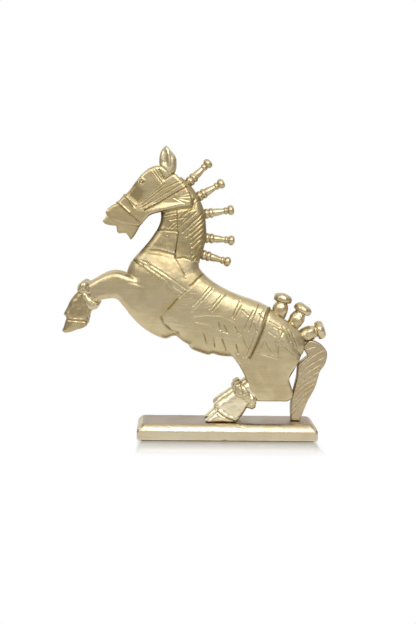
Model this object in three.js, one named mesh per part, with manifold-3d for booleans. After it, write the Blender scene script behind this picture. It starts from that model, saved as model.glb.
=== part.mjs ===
// Horse figurine: a sawn and rounded wooden horse, rearing, clad in thin sheet metal,
// on a clad wooden plinth. Millimetres, +Z up, X from nose to tail, Y away from the viewer.
// The origin is the centre of the plinth's underside. Everything above the plinth is drawn
// with heights measured from the soles of the hind hooves.

import * as THREE from 'three';
import { mergeVertices } from 'three/addons/utils/BufferGeometryUtils.js';
import Module from 'manifold-3d';

const wasm = await Module();
wasm.setup();

// Sheet metal and fits
const sheetThickness = 0.8;
const trimThickness = 1.1;
const fitGap = 0.3;
const sheetHem = 0.5;

// Height of the horse from the soles to the tips of the ears. The side views below are drawn
// at one size and scaled to it
const horseHeight = 275.5;

// Plinth
const plinthLength = 182;
const plinthWidth = 52;
const plinthHeight = 16.5;
const crownWidth = 7;
const crownHeight = 7.5;
const plinthCornerRadius = 2.5;

// Screws that come up through the plinth
const screwRadius = 1.9;
const screwHeadRadius = 3.6;
const screwHeadHeight = 3;
const screwRecess = 1.5;
const screwBite = 14;

// Spacing of the near and far legs, and of the two ears, from the middle plane
const forelegOffset = 10.5;
const hindLegOffset = 10.9;
const earOffset = 8;

// Turned pegs of the mane: two rings, a tapered shank, a collar and a ball
const pegRingRadius = 5.2;
const pegRingLength = 4.3;
const pegRingGroove = 0.9;
const pegSwellRadius = 4;
const pegWaistRadius = 2.8;
const pegShankLength = 10.5;
const pegCollarRadius = 3.8;
const pegCollarLength = 3;
const pegBallRadius = 5;
const pegSink = 0.6;
const pegTenonRadius = 2.2;
const pegTenonLength = 9;

// Finials of the rump
const finialBulbRadius = 7.5;
const finialBulbLength = 12.5;
const finialWaistRadius = 5.6;
const finialCapRadius = 9.3;
const finialCapLength = 8.5;
const finialTenonRadius = 2.4;
const finialSink = 3.5;
const finialTenonLength = 9;

// Tail board and the dowel that holds it to the rump
const tailHalfThickness = 6.2;
const tailShift = 2;
const tailEdgeRound = 1.8;
const dowelRadius = 2;
const dowelLength = 20;

const turnedSides = 8;
const rodSides = 6;

// Forms of the horse. Each is a board lofted between its front (or upper) line and its back
// (or lower) line. The points of the two lines pair up, half the thickness is given at each
// pair, and the long edges are rounded.
const trunk = {
  front: [[-101.5, 145], [-99.5, 157], [-92, 164], [-76, 167], [-55, 167], [-36, 159], [-24, 146.5],
    [-11, 137], [6, 129], [37, 117.5], [64, 99], [74.5, 89], [78, 78], [76.5, 68]],
  back: [[-106, 124], [-103, 111], [-94, 101], [-83, 91.5], [-69, 84], [-57, 85], [-46, 80.5],
    [-34, 72], [-17, 65.5], [9, 62], [17, 51], [28, 36], [42, 33], [56, 35]],
  half: [13, 15.5, 16.8, 17.5, 17.5, 17.5, 17.5, 17.5, 17.5, 17.5, 17.5, 17.5, 17.5, 17.5],
  round: 8,
  roundSteps: 2,
  offset: 0,
};
const neck = {
  front: [[-97, 153], [-95, 164.5], [-87, 173.5], [-79.5, 182.5], [-70.5, 198.5], [-69.5, 207],
    [-71, 217], [-70, 227], [-66, 237]],
  back: [[-30, 141], [-31, 154], [-30.5, 163], [-26.6, 174], [-24.3, 194], [-25.7, 207.5],
    [-34, 228], [-42, 237.5], [-51, 245]],
  half: [14.5, 14.8, 14.8, 14, 12.5, 11.5, 10.5, 10, 9.5],
  round: 6,
  roundSteps: 1,
  offset: 0,
};
const head = {
  front: [[-49, 241], [-58, 249], [-69, 255.5], [-78, 253.5], [-87.5, 248], [-94, 240],
    [-101, 230.5], [-112.5, 218.5], [-118, 215.5], [-122.5, 211.5], [-124, 208]],
  back: [[-38.5, 222], [-48, 215], [-60, 211.5], [-71, 209.5], [-80, 206.5], [-86, 201],
    [-90.5, 195], [-99, 190], [-106, 192], [-114, 196.5], [-120, 202]],
  half: [11.5, 12.5, 13, 13, 12.6, 12, 11, 9.6, 9.4, 9.1, 8.6],
  round: 4,
  roundSteps: 1,
  offset: 0,
};
const muzzle = {
  outline: [[-118, 213], [-122.5, 211.5], [-124.5, 208], [-122.5, 205.5], [-127, 199], [-120, 196],
    [-113.5, 195.5], [-112.5, 188], [-103.5, 188.5], [-99, 181.5], [-94.5, 188], [-89, 197.5],
    [-95, 207], [-108, 213]],
  half: 7.8,
  edge: 1.2,
};
const foreleg = {
  front: [[-92, 145], [-104, 148.5], [-116.5, 150.5], [-124.5, 148], [-139, 139.5],
    [-149, 132], [-155, 125.5], [-159.5, 118], [-165, 106], [-161, 104], [-164, 97], [-166.5, 91.5],
    [-164, 88]],
  back: [[-92, 103.5], [-105, 114.5], [-118, 123], [-124, 122.5], [-133, 117.5],
    [-135.5, 113], [-138, 110], [-139.5, 106.5], [-141, 102], [-141.2, 100.5], [-141.5, 99], [-142.3, 97],
    [-144.5, 94.5]],
  half: [6.2, 6.2, 6.2, 6, 5.6, 5.7, 6, 6.2, 6.3, 5.6, 6, 6.5, 6],
  round: 3.2,
  roundSteps: 1,
  offset: forelegOffset,
};
const hindLeg = {
  front: [[3, 68], [9.9, 59], [16.7, 47.7], [22, 34], [29.5, 22.2], [33, 21]],
  back: [[77, 76], [73, 61.5], [66.5, 51], [63, 43], [66.5, 30], [62, 21.5]],
  half: [6.3, 6.3, 6.3, 6.3, 6.3, 5.8],
  round: 3.2,
  roundSteps: 1,
  offset: hindLegOffset,
};
const hindPastern = {
  front: [[20, 45], [5, 31], [-5, 24.5], [-13.5, 19], [-12, 15], [-16.5, 9], [-22.3, 2.4], [-20, 0]],
  back: [[33, 30], [20.5, 16], [16.5, 9.5], [13.5, 6], [12.5, 4.5], [11.5, 3.5], [10.5, 2.2], [8.5, 0]],
  half: [5.6, 6, 6.3, 6.4, 5.8, 6.3, 6.9, 6.2],
  round: 3.2,
  roundSteps: 1,
  offset: hindLegOffset,
};

// Cuffs: a ring of two beads round each fetlock
const foreCuff = {
  front: [[-139, 138.5], [-143, 141], [-145.5, 137.5], [-150, 136], [-151.5, 130.5]],
  back: [[-129.5, 121], [-128.8, 116.5], [-132, 115.2], [-133.2, 111.5], [-136.5, 111]],
  half: [6.8, 8, 7.2, 8, 6.7],
  round: 5,
  roundSteps: 1,
  offset: forelegOffset,
};
const hindCuff = {
  front: [[18.5, 42], [13.5, 41.5], [10.5, 37.5], [5.5, 37], [4, 30]],
  back: [[29.8, 25], [30.5, 19], [27, 17], [25.5, 12.8], [20, 13.5]],
  half: [7, 8.2, 7.4, 8.2, 6.9],
  round: 5,
  roundSteps: 1,
  offset: hindLegOffset,
};

const ear = {
  front: [[-64.5, 243.5], [-70, 251], [-72, 258], [-71.5, 264.5], [-69, 270.5], [-65.5, 275.5]],
  back: [[-63.5, 243.5], [-56.5, 248.5], [-54.5, 256], [-55.5, 263], [-59.5, 269], [-64.5, 275.5]],
  half: [1.5, 3.6, 4.2, 3.8, 2.6, 0.8],
  round: 3.4,
  roundSteps: 1,
  offset: earOffset,
};
// The hollow of an ear, scooped out of its outer face: centre in the side view, distance out
// from the middle of the ear, and half sizes
const earHollow = { at: [-66, 264], out: 6, size: [4.8, 3.4, 9] };
const earHollowSides = 8;

// Tail board, from its joint on the rump over the bend and down to its foot
const tailFootFront = 65.5;
const tailFootBack = 75;
const tailOutline = [[72, 76], [80, 80], [85, 82], [91.5, 80.5], [97.5, 75.5], [101, 70], [101, 65],
  [98, 58], [93.5, 51], [91.5, 44], [86, 29], [79.5, 14.5], [tailFootBack, 0], [tailFootFront, 0],
  [65, 10.5], [65.5, 22.5], [68.5, 34.5], [70.5, 45.5], [71, 58.5], [81, 66.5], [72, 69]];

// Seats of pegs and finials, as fractions of the line that carries them, with the lean in
// degrees that each one has from square, towards the tail
const pegSeats = [0.889, 0.732, 0.631, 0.443, 0.314];
const pegLeans = [2, -3, 6, -2, -8];
const finialSeats = [0.731, 0.779, 0.859];
const finialLeans = [-23, -10, 9];
const dowelSeat = [66, 74];

// How far behind the middle of its sole each hind hoof is screwed
const hoofScrewShift = 6;

// Seams of the cladding, drawn on the side view
const jawSeam = [[-76, 205], [-69, 210], [-54.5, 214]];
const cheekSeam = [[-54.5, 214], [-38.5, 216], [-38.5, 222.5], [-47, 235], [-49, 245], [-46, 263]];
const throatSeam = [[-54.5, 214], [-52, 190.5], [-54, 175], [-55.5, 168.5], [-54.5, 163.5]];
const withersSeam = [[-54.5, 163.5], [-45.5, 165.5], [-32, 159.5], [-15, 161]];
const collarSeam = [[-54.5, 163.5], [-70, 171], [-110, 171]];
const flankSeam = [[46, 133], [28, 91], [12, 67], [5, 52]];
const shoulderSeam = [[-115, 158], [-97, 146.5], [-85, 140.5], [-80, 129], [-86, 113], [-100, 88]];
const foreCuffSeam = [[-152, 147], [-146, 139], [-131, 115], [-126, 107]];
const hindCuffSeam = [[5, 52], [10, 39], [27, 16], [32, 8]];
const chinGap = [[-110, 171], [-93, 179], [-84, 193], [-76, 205]];

// Outlines of the cloths and straps, drawn on the side view
const saddleOutline = [[-22, 153], [-26, 149], [-38, 136.5], [-51.5, 123.5], [-67, 105.5],
  [-64, 100.5], [-58, 94.5], [-50.5, 91], [-44, 82], [-38.5, 77], [-38.5, 61], [-17, 61], [-15, 69],
  [-13.5, 61], [6, 61], [6.5, 64], [19.5, 66], [22, 69.5], [32.5, 96], [37, 110.5], [39.5, 115.5],
  [43, 125]];
const saddleSlotHalf = 6;
const saddleSlotTop = 84;
const rumpClothOutline = [[24, 70.5], [34.2, 96], [38.6, 109.5], [46, 107], [55, 102.5], [64, 96.5],
  [71.5, 89], [75.5, 80], [75.5, 75], [71, 66], [49, 83.5], [48.5, 67], [28, 73]];
const breastOutline = [[-106, 155], [-94.5, 157.5], [-85, 152.5], [-71.5, 140.5], [-52, 124],
  [-39.5, 136.2], [-64, 152.5], [-83.5, 163], [-102, 170]];
const neckPlateOutline = [[-80, 190], [-53, 189.5], [-54.6, 175], [-56, 169], [-70, 173], [-92, 176],
  [-88, 182]];
const nosebandOutline = [[-108, 229], [-94, 217.5], [-84.5, 207.5], [-81, 199], [-88, 194.5],
  [-99.5, 205.5], [-116, 221]];
const browbandOutline = [[-83.5, 253], [-71.5, 236.5], [-66.5, 240], [-74, 258]];
const cheekStrapOutline = [[-47, 237], [-68.5, 222.5], [-86.5, 212.3], [-91, 216], [-87, 220.5],
  [-69.5, 236.5], [-56, 245]];

// A closed space far larger than the object, for plates that cut right through it
const farOut = 320;

const sheetMetal = new THREE.MeshStandardMaterial({ color: 0xc9ba8c, roughness: 0.38, metalness: 0.9 });
const trimMetal = new THREE.MeshStandardMaterial({ color: 0xd0c193, roughness: 0.42, metalness: 0.9 });
const foilMetal = new THREE.MeshStandardMaterial({ color: 0xc2b180, roughness: 0.45, metalness: 0.85 });
const plainWood = new THREE.MeshStandardMaterial({ color: 0xa9825a, roughness: 0.8, metalness: 0 });
const steel = new THREE.MeshStandardMaterial({ color: 0x9a9a98, roughness: 0.4, metalness: 0.9 });

// Makes a solid from a closed geometry
function solidOf(geometry) {
  const bare = geometry.clone();
  bare.deleteAttribute('normal');
  bare.deleteAttribute('uv');
  const merged = mergeVertices(bare, 1e-4);
  const index = merged.index.array;
  const corners = [];
  for (let i = 0; i < index.length; i += 3) {
    const [a, b, c] = [index[i], index[i + 1], index[i + 2]];
    if (a !== b && b !== c && c !== a) corners.push(a, b, c);
  }
  return new wasm.Manifold(new wasm.Mesh({
    numProp: 3,
    vertProperties: new Float32Array(merged.attributes.position.array),
    triVerts: new Uint32Array(corners),
  }));
}

function geometryOf(solid) {
  const { vertProperties, triVerts } = solid.getMesh();
  const geometry = new THREE.BufferGeometry();
  geometry.setAttribute('position', new THREE.BufferAttribute(vertProperties, 3));
  geometry.setIndex(new THREE.BufferAttribute(triVerts, 1));
  geometry.computeVertexNormals();
  return geometry;
}

function joined(solids) {
  return solids.reduce((whole, solid) => whole.add(solid));
}

function cutBy(solid, cutters) {
  return cutters.reduce((rest, cutter) => rest.subtract(cutter), solid);
}

// The side views at full size
const drawnHeight = Math.max(...ear.front.map(([, z]) => z));
const horseScale = horseHeight / drawnHeight;
const atSize = ([x, z]) => [x * horseScale, z * horseScale];

function curveThrough(points) {
  const places = points.map(atSize).map(([x, z]) => new THREE.Vector3(x, 0, z));
  return new THREE.CatmullRomCurve3(places, false, 'centripetal');
}

function shapeOf(outline) {
  return new THREE.Shape(outline.map(atSize).map(([x, z]) => new THREE.Vector2(x, z)));
}

// One cross-section of a board: a rounded rectangle between two points of its side view,
// grown outwards all round by grow
function boardSection(a, b, form, half, middleY, grow) {
  const middle = a.clone().add(b).multiplyScalar(0.5);
  const along = b.clone().sub(a).normalize();
  const reach = a.distanceTo(b) / 2;
  const radius = Math.max(0.3, Math.min(form.round, reach * 0.9, half * 0.9) + grow);
  const reachIn = reach + grow - radius;
  const halfIn = half + grow - radius;
  const ring = [];
  const perCorner = form.roundSteps + 1;
  for (let step = 0; step < 4 * perCorner; step += 1) {
    const corner = Math.floor(step / perCorner);
    const angle = (corner + (step % perCorner) / form.roundSteps) * Math.PI / 2;
    const u = (corner % 3 === 0 ? reachIn : -reachIn) + radius * Math.cos(angle);
    const v = (corner < 2 ? halfIn : -halfIn) + radius * Math.sin(angle);
    ring.push(new THREE.Vector3(middle.x + along.x * u, middleY + v, middle.z + along.z * u));
  }
  return ring;
}

// A closed skin over sections that all have the same number of points
function solidOverSections(sections) {
  const count = sections[0].length;
  const positions = sections.flat().flatMap((p) => [p.x, p.y, p.z]);
  const index = [];
  for (let s = 0; s < sections.length - 1; s += 1) {
    for (let i = 0; i < count; i += 1) {
      const a = s * count + i;
      const b = s * count + (i + 1) % count;
      index.push(a, b, b + count, a, b + count, a + count);
    }
  }
  const capCentre = (section) => {
    const sum = section.reduce((total, p) => total.add(p), new THREE.Vector3());
    positions.push(...sum.divideScalar(count).toArray());
    return positions.length / 3 - 1;
  };
  const first = capCentre(sections[0]);
  const last = capCentre(sections[sections.length - 1]);
  const lastStart = (sections.length - 1) * count;
  for (let i = 0; i < count; i += 1) {
    const j = (i + 1) % count;
    index.push(first, j, i, last, lastStart + i, lastStart + j);
  }
  if (signedVolume(positions, index) < 0) index.reverse();
  const geometry = new THREE.BufferGeometry();
  geometry.setAttribute('position', new THREE.Float32BufferAttribute(positions, 3));
  geometry.setIndex(index);
  return solidOf(geometry);
}

function signedVolume(positions, index) {
  const corner = (i) => new THREE.Vector3().fromArray(positions, index[i] * 3);
  let volume = 0;
  for (let i = 0; i < index.length; i += 3) {
    volume += corner(i).dot(corner(i + 1).cross(corner(i + 2)));
  }
  return volume;
}

// Lofts a board between its two lines. Side is -1 near, 1 far or 0 on the middle plane.
// Growth also moves the two ends outwards
function loft(form, grow = 0, side = 0) {
  const last = form.front.length - 1;
  const sections = form.front.map((_, i) => {
    const [a, b] = pairAt(form, i);
    if (i === 0 || i === last) {
      const [c, d] = pairAt(form, i === 0 ? 1 : last - 1);
      const outwards = a.clone().add(b).sub(c).sub(d).setLength(grow);
      a.add(outwards);
      b.add(outwards);
    }
    return boardSection(a, b, form, form.half[i], side * form.offset, grow);
  });
  return solidOverSections(sections);
}

function pairAt(form, i) {
  return [form.front[i], form.back[i]].map(atSize).map(([x, z]) => new THREE.Vector3(x, 0, z));
}

function bothSides(form, grow) {
  return [loft(form, grow, -1), loft(form, grow, 1)];
}

// A board sawn to an outline of the side view, its edges eased, grown all round by grow
function sawnBoard(outline, half, edge, middle, grow) {
  const depth = 2 * (half + grow - edge);
  const geometry = new THREE.ExtrudeGeometry(shapeOf(outline), {
    depth,
    bevelSize: edge,
    bevelThickness: edge,
    bevelOffset: grow - edge,
    bevelSegments: 1,
  });
  geometry.rotateX(Math.PI / 2);
  geometry.translate(0, middle + depth / 2, 0);
  return solidOf(geometry);
}

// A straight cut through the side view, between two depths
function plate(outline, from = -farOut, to = farOut) {
  const depth = to - from;
  const geometry = new THREE.ExtrudeGeometry(shapeOf(outline), { depth, bevelEnabled: false });
  geometry.rotateX(Math.PI / 2);
  geometry.translate(0, to, 0);
  return solidOf(geometry);
}

// A saw cut as wide as the fit gap that follows a line of the side view
function sawCut(line) {
  const left = [];
  const right = [];
  line.forEach(([x, z], i) => {
    const [x0, z0] = line[Math.max(i - 1, 0)];
    const [x1, z1] = line[Math.min(i + 1, line.length - 1)];
    const normal = new THREE.Vector2(z0 - z1, x1 - x0).setLength(fitGap / 2 / horseScale);
    left.push([x + normal.x, z + normal.y]);
    right.unshift([x - normal.x, z - normal.y]);
  });
  return plate([...left, ...right]);
}

function block(from, to) {
  const low = new THREE.Vector3(...from);
  const high = new THREE.Vector3(...to);
  const size = high.clone().sub(low);
  const geometry = new THREE.BoxGeometry(size.x, size.y, size.z);
  geometry.translate(...low.add(high).multiplyScalar(0.5).toArray());
  return solidOf(geometry);
}

// One half of space, near or far, kept clear of the middle plane by half the fit gap
function halfSpace(side) {
  const edge = side * fitGap / 2;
  const outer = side * farOut;
  return block([-farOut, Math.min(edge, outer), -farOut], [farOut, Math.max(edge, outer), farOut]);
}

// A turned piece: radius and height pairs about an axis that starts at a point
function turned(profile, start, direction, segments = turnedSides) {
  const points = profile.map(([radius, height]) => new THREE.Vector2(radius, height));
  const geometry = new THREE.LatheGeometry(points, segments);
  const upright = new THREE.Vector3(0, 1, 0);
  geometry.applyQuaternion(new THREE.Quaternion().setFromUnitVectors(upright, direction));
  geometry.translate(...start.toArray());
  return solidOf(geometry);
}

function rod(radius, length, start, direction) {
  const profile = [[0, 0], [radius, 0], [radius, length], [0, length]];
  return turned(profile, start, direction, rodSides);
}

// Outward direction of a line of the side view, leaned towards the tail by some degrees
function squareTo(curve, t, lean, inside) {
  const point = curve.getPoint(t);
  const tangent = curve.getTangent(t);
  const normal = new THREE.Vector3(tangent.z, 0, -tangent.x);
  if (normal.dot(point.clone().sub(inside)) < 0) normal.negate();
  return normal.applyAxisAngle(new THREE.Vector3(0, 1, 0), THREE.MathUtils.degToRad(lean));
}

// The horse's own form with no trim: the wooden core, the cladding's two faces and the
// clearance for the trim are this form at different growths
function horseForm(grow) {
  return joined([
    loft(trunk, grow),
    loft(neck, grow),
    loft(head, grow),
    sawnBoard(muzzle.outline, muzzle.half, muzzle.edge, 0, grow),
    ...bothSides(foreleg, grow),
    ...bothSides(hindLeg, grow),
    ...bothSides(hindPastern, grow),
  ]);
}

const coreGrowth = -sheetThickness - fitGap;
const coreForm = horseForm(coreGrowth);
const innerForm = horseForm(-sheetThickness);
const outerForm = horseForm(0);
const clearForm = horseForm(fitGap);
const trimForm = horseForm(fitGap + trimThickness);
const sides = { near: -1, far: 1 };
const halves = { near: halfSpace(-1), far: halfSpace(1) };

// Ears stand in V notches that are open to the outer face of the poll
function earForm(side) {
  const [x, z] = atSize(earHollow.at);
  const hollow = new THREE.SphereGeometry(1, earHollowSides, earHollowSides);
  hollow.scale(...earHollow.size);
  hollow.translate(x, side * (earOffset + earHollow.out), z);
  return loft(ear, 0, side).subtract(solidOf(hollow));
}

function earNotch(side) {
  const reach = Math.max(...head.half);
  const inner = earOffset - Math.max(...ear.half);
  const notch = { ...ear, half: ear.half.map(() => reach), round: 0.5, offset: inner + reach };
  return loft(notch, fitGap, side);
}
const earNotches = Object.values(sides).map(earNotch);

function pegProfile() {
  const shank = 2 * pegRingLength;
  const collar = shank + pegShankLength;
  const ball = collar + pegCollarLength;
  return [
    [0, 0],
    [pegRingRadius - pegRingGroove, 0],
    [pegRingRadius, pegRingLength * 0.5],
    [pegRingRadius - pegRingGroove, pegRingLength],
    [pegRingRadius, pegRingLength * 1.5],
    [pegSwellRadius, shank],
    [pegWaistRadius, collar],
    [pegCollarRadius, collar + pegCollarLength * 0.3],
    [pegCollarRadius, collar + pegCollarLength * 0.7],
    [pegWaistRadius, ball],
    [pegBallRadius, ball + pegBallRadius * 0.6],
    [pegBallRadius * 0.75, ball + pegBallRadius * 1.25],
    [0, ball + pegBallRadius * 1.5],
  ];
}

function finialProfile() {
  const waist = finialSink + finialBulbLength;
  return [
    [0, 0],
    [finialBulbRadius * 0.72, 0],
    [finialBulbRadius * 0.94, finialSink + finialBulbLength * 0.15],
    [finialBulbRadius, finialSink + finialBulbLength * 0.45],
    [finialBulbRadius * 0.94, finialSink + finialBulbLength * 0.78],
    [finialWaistRadius, waist],
    [finialCapRadius * 0.86, waist + finialCapLength * 0.12],
    [finialCapRadius, waist + finialCapLength * 0.4],
    [finialCapRadius * 0.88, waist + finialCapLength * 0.72],
    [finialCapRadius * 0.5, waist + finialCapLength * 0.95],
    [0, waist + finialCapLength],
  ];
}

// A turned piece seated on the horse: its foot is coped to the cladding, and its tenon goes
// on into a blind hole of the core
function seatedPiece(profile, seat, direction, sink, tenonRadius, tenonLength) {
  const foot = seat.clone().addScaledVector(direction, -sink);
  const tip = seat.clone().addScaledVector(direction, -tenonLength);
  const tenon = rod(tenonRadius, tenonLength + sink + tenonRadius, tip, direction);
  const holeTip = tip.clone().addScaledVector(direction, -fitGap);
  return {
    solid: turned(profile, foot, direction).subtract(clearForm).add(tenon),
    hole: rod(tenonRadius + fitGap, tenonLength + 2 * (sink + tenonRadius), holeTip, direction),
  };
}

const crest = curveThrough(neck.back);
const backLine = curveThrough(trunk.front);
const heartOf = (form) => {
  const middle = Math.floor(form.front.length / 2);
  const [a, b] = pairAt(form, middle);
  return a.add(b).multiplyScalar(0.5);
};
const pegs = pegSeats.map((t, i) => {
  const direction = squareTo(crest, t, pegLeans[i], heartOf(neck));
  return seatedPiece(pegProfile(), crest.getPoint(t), direction, pegSink, pegTenonRadius, pegTenonLength);
});
const finials = finialSeats.map((t, i) => {
  const direction = squareTo(backLine, t, finialLeans[i], heartOf(hindLeg));
  const seat = backLine.getPoint(t);
  return seatedPiece(finialProfile(), seat, direction, finialSink, finialTenonRadius, finialTenonLength);
});

// Tail: a board with a sheet round it, open where it meets the rump
function tailForm(grow) {
  return sawnBoard(tailOutline, tailHalfThickness, tailEdgeRound, tailShift, grow);
}
const [dowelX, dowelZ] = atSize(dowelSeat);
const dowelStart = new THREE.Vector3(dowelX, tailShift, dowelZ);
const tailward = new THREE.Vector3(1, 0, 0);
const tailDowel = rod(dowelRadius, dowelLength, dowelStart, tailward);
const dowelHoleStart = dowelStart.clone().addScaledVector(tailward, -fitGap);
const dowelHole = rod(dowelRadius + fitGap, dowelLength + 2 * fitGap, dowelHoleStart, tailward);

// Screws: countersunk, driven from the plinth's underside
const soleHeight = plinthHeight + fitGap;
function screwForm(grow) {
  const length = soleHeight - screwRecess + screwBite;
  const mouth = grow > 0 ? -screwRecess - 1 : 0;
  return [
    [0, mouth],
    [screwHeadRadius + grow, mouth],
    [screwHeadRadius + grow, 0.8 + grow],
    [screwRadius + grow, screwHeadHeight + grow],
    [screwRadius + grow, length - 2 + grow],
    [0, length + grow],
  ];
}
const upwards = new THREE.Vector3(0, 0, 1);
const middleOf = (a, b) => horseScale * (a + b) / 2;
const hindScrewX = middleOf(hindPastern.front.at(-1)[0], hindPastern.back.at(-1)[0]) + hoofScrewShift;
const tailScrewX = middleOf(tailFootFront, tailFootBack);
const screwPlaces = {
  hind_hoof_screw_near: [hindScrewX, -hindLegOffset],
  hind_hoof_screw_far: [hindScrewX, hindLegOffset],
  tail_screw: [tailScrewX, tailShift],
};
const screws = {};
const screwHoles = [];
for (const [name, [x, y]] of Object.entries(screwPlaces)) {
  const foot = new THREE.Vector3(x, y, screwRecess - soleHeight);
  screws[name] = turned(screwForm(0), foot, upwards);
  screwHoles.push(turned(screwForm(fitGap), foot, upwards));
}

// Plinth: a block with a crowned edge, in a sheet that stops short of the underside
function plinthForm(grow) {
  const shape = new THREE.Shape();
  const x = plinthLength / 2 - crownWidth;
  const y = plinthWidth / 2 - crownWidth;
  const r = plinthCornerRadius;
  shape.moveTo(x, r - y);
  shape.absarc(x - r, y - r, r, 0, Math.PI / 2);
  shape.absarc(r - x, y - r, r, Math.PI / 2, Math.PI);
  shape.absarc(r - x, r - y, r, Math.PI, Math.PI * 1.5);
  shape.absarc(x - r, r - y, r, Math.PI * 1.5, Math.PI * 2);
  const geometry = new THREE.ExtrudeGeometry(shape, {
    depth: plinthHeight + grow,
    bevelSize: crownWidth,
    bevelThickness: crownHeight,
    bevelOffset: grow,
    bevelSegments: 3,
    curveSegments: 1,
  });
  geometry.translate(0, 0, -crownHeight - soleHeight);
  return solidOf(geometry);
}
function above(height) {
  return block([-farOut, -farOut, height - soleHeight], [farOut, farOut, farOut]);
}

// Cladding: the space between two growths of the horse, cut along its seams
const seams = [jawSeam, cheekSeam, throatSeam, withersSeam, collarSeam, flankSeam, shoulderSeam,
  foreCuffSeam, hindCuffSeam].map(sawCut);
const sockets = [...earNotches, ...pegs.map((p) => p.hole), ...finials.map((f) => f.hole), dowelHole,
  ...screwHoles];
const cladding = cutBy(outerForm.subtract(innerForm), [...sockets, ...seams]);

const backwards = (line) => [...line].reverse();
const zones = {
  head_sheet: [...jawSeam, ...cheekSeam.slice(1), [-46, farOut], [-farOut, farOut], [-farOut, 170],
    ...chinGap.slice(0, -1)],
  throat_sheet: [...jawSeam, ...throatSeam.slice(1), ...collarSeam.slice(1), ...chinGap.slice(1, -1)],
  mane_sheet: [...cheekSeam, [0, 263], [0, 161], ...backwards(withersSeam),
    ...backwards(throatSeam).slice(1, -1)],
  flank_sheet: [...backwards(collarSeam), ...withersSeam.slice(1), [46, 161], ...flankSeam, [-100, 52],
    ...backwards(shoulderSeam), [-120, 171]],
  foreleg_sheet: [...shoulderSeam, [-126, 88], ...backwards(foreCuffSeam), [-152, 160], [-115, 160]],
  fore_hoof_sheath: [...foreCuffSeam, [-126, 60], [-farOut, 60], [-farOut, 147]],
  haunch_sheet: [...flankSeam, ...hindCuffSeam.slice(1), [140, 8], [140, 133]],
  hind_hoof_sheath: [...hindCuffSeam, [32, -2], [-60, -2], [-60, 52]],
};

const overClad = (outline) => trimForm.intersect(plate(outline)).subtract(clearForm);
const saddleSlot = block([-farOut, -saddleSlotHalf, -farOut], [farOut, saddleSlotHalf, saddleSlotTop]);

const figurine = new THREE.Group();
const horse = new THREE.Group();
horse.position.z = soleHeight;
figurine.add(horse);

function addPiece(name, solid, material) {
  const mesh = new THREE.Mesh(geometryOf(solid), material.clone());
  mesh.name = name;
  horse.add(mesh);
}

addPiece('plinth_block', cutBy(plinthForm(coreGrowth).intersect(above(0)), screwHoles), plainWood);
const plinthShell = plinthForm(0).subtract(plinthForm(-sheetThickness)).intersect(above(sheetHem));
addPiece('plinth_sheet', cutBy(plinthShell, screwHoles), sheetMetal);
for (const [name, solid] of Object.entries(screws)) {
  addPiece(name, solid, steel);
}

addPiece('horse_core', cutBy(coreForm, sockets), plainWood);
for (const [name, outline] of Object.entries(zones)) {
  const zone = cladding.intersect(plate(outline));
  for (const [half, space] of Object.entries(halves)) {
    addPiece(`${name}_${half}`, zone.intersect(space), sheetMetal);
  }
}
for (const [half, side] of Object.entries(sides)) {
  addPiece(`fore_cuff_${half}`, loft(foreCuff, 0, side).subtract(clearForm), foilMetal);
  addPiece(`hind_cuff_${half}`, loft(hindCuff, 0, side).subtract(clearForm), foilMetal);
  addPiece(`ear_${half}`, earForm(side), sheetMetal);
}
pegs.forEach((peg, i) => addPiece(`mane_peg_${i + 1}`, peg.solid, foilMetal));
finials.forEach((finial, i) => addPiece(`rump_finial_${i + 1}`, finial.solid, foilMetal));

const tailSockets = [clearForm, dowelHole, ...screwHoles];
addPiece('tail_core', cutBy(tailForm(coreGrowth), tailSockets), plainWood);
addPiece('tail_sheet', cutBy(tailForm(0).subtract(tailForm(-sheetThickness)), tailSockets), sheetMetal);
addPiece('tail_dowel', tailDowel, plainWood);

addPiece('saddle_cloth', overClad(saddleOutline).subtract(saddleSlot), trimMetal);
addPiece('breast_collar', overClad(breastOutline), trimMetal);
addPiece('neck_plate', overClad(neckPlateOutline), sheetMetal);
addPiece('noseband', overClad(nosebandOutline), trimMetal);
addPiece('browband', cutBy(overClad(browbandOutline), earNotches), trimMetal);
const cheekStrap = cutBy(overClad(cheekStrapOutline), earNotches);
const finialStrip = finialBulbRadius + fitGap;
const ridge = block([-farOut, -finialStrip, -farOut], [farOut, finialStrip, farOut]);
const rumpCloth = overClad(rumpClothOutline).subtract(ridge);
for (const [half, space] of Object.entries(halves)) {
  addPiece(`cheek_strap_${half}`, cheekStrap.intersect(space), trimMetal);
  addPiece(`rump_cloth_${half}`, rumpCloth.intersect(space), trimMetal);
}

export default figurine;
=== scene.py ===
import math

import bpy
import numpy as np
from mathutils import Matrix, Vector


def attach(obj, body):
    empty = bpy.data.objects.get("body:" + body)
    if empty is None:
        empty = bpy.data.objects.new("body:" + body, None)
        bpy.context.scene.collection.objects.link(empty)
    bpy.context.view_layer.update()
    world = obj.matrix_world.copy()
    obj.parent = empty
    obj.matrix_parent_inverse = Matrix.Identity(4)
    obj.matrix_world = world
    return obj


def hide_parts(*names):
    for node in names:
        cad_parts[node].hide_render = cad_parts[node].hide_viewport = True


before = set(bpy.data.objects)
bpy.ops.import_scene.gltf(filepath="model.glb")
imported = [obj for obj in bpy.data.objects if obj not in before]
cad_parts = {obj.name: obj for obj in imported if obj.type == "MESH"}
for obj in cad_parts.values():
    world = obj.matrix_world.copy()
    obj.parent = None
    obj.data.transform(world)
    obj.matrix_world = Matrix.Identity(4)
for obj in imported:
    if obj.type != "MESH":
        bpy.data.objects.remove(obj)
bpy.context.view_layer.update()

soleHeight = 16.8  # mm from the plinth's underside up to the soles, where every side view starts


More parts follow.
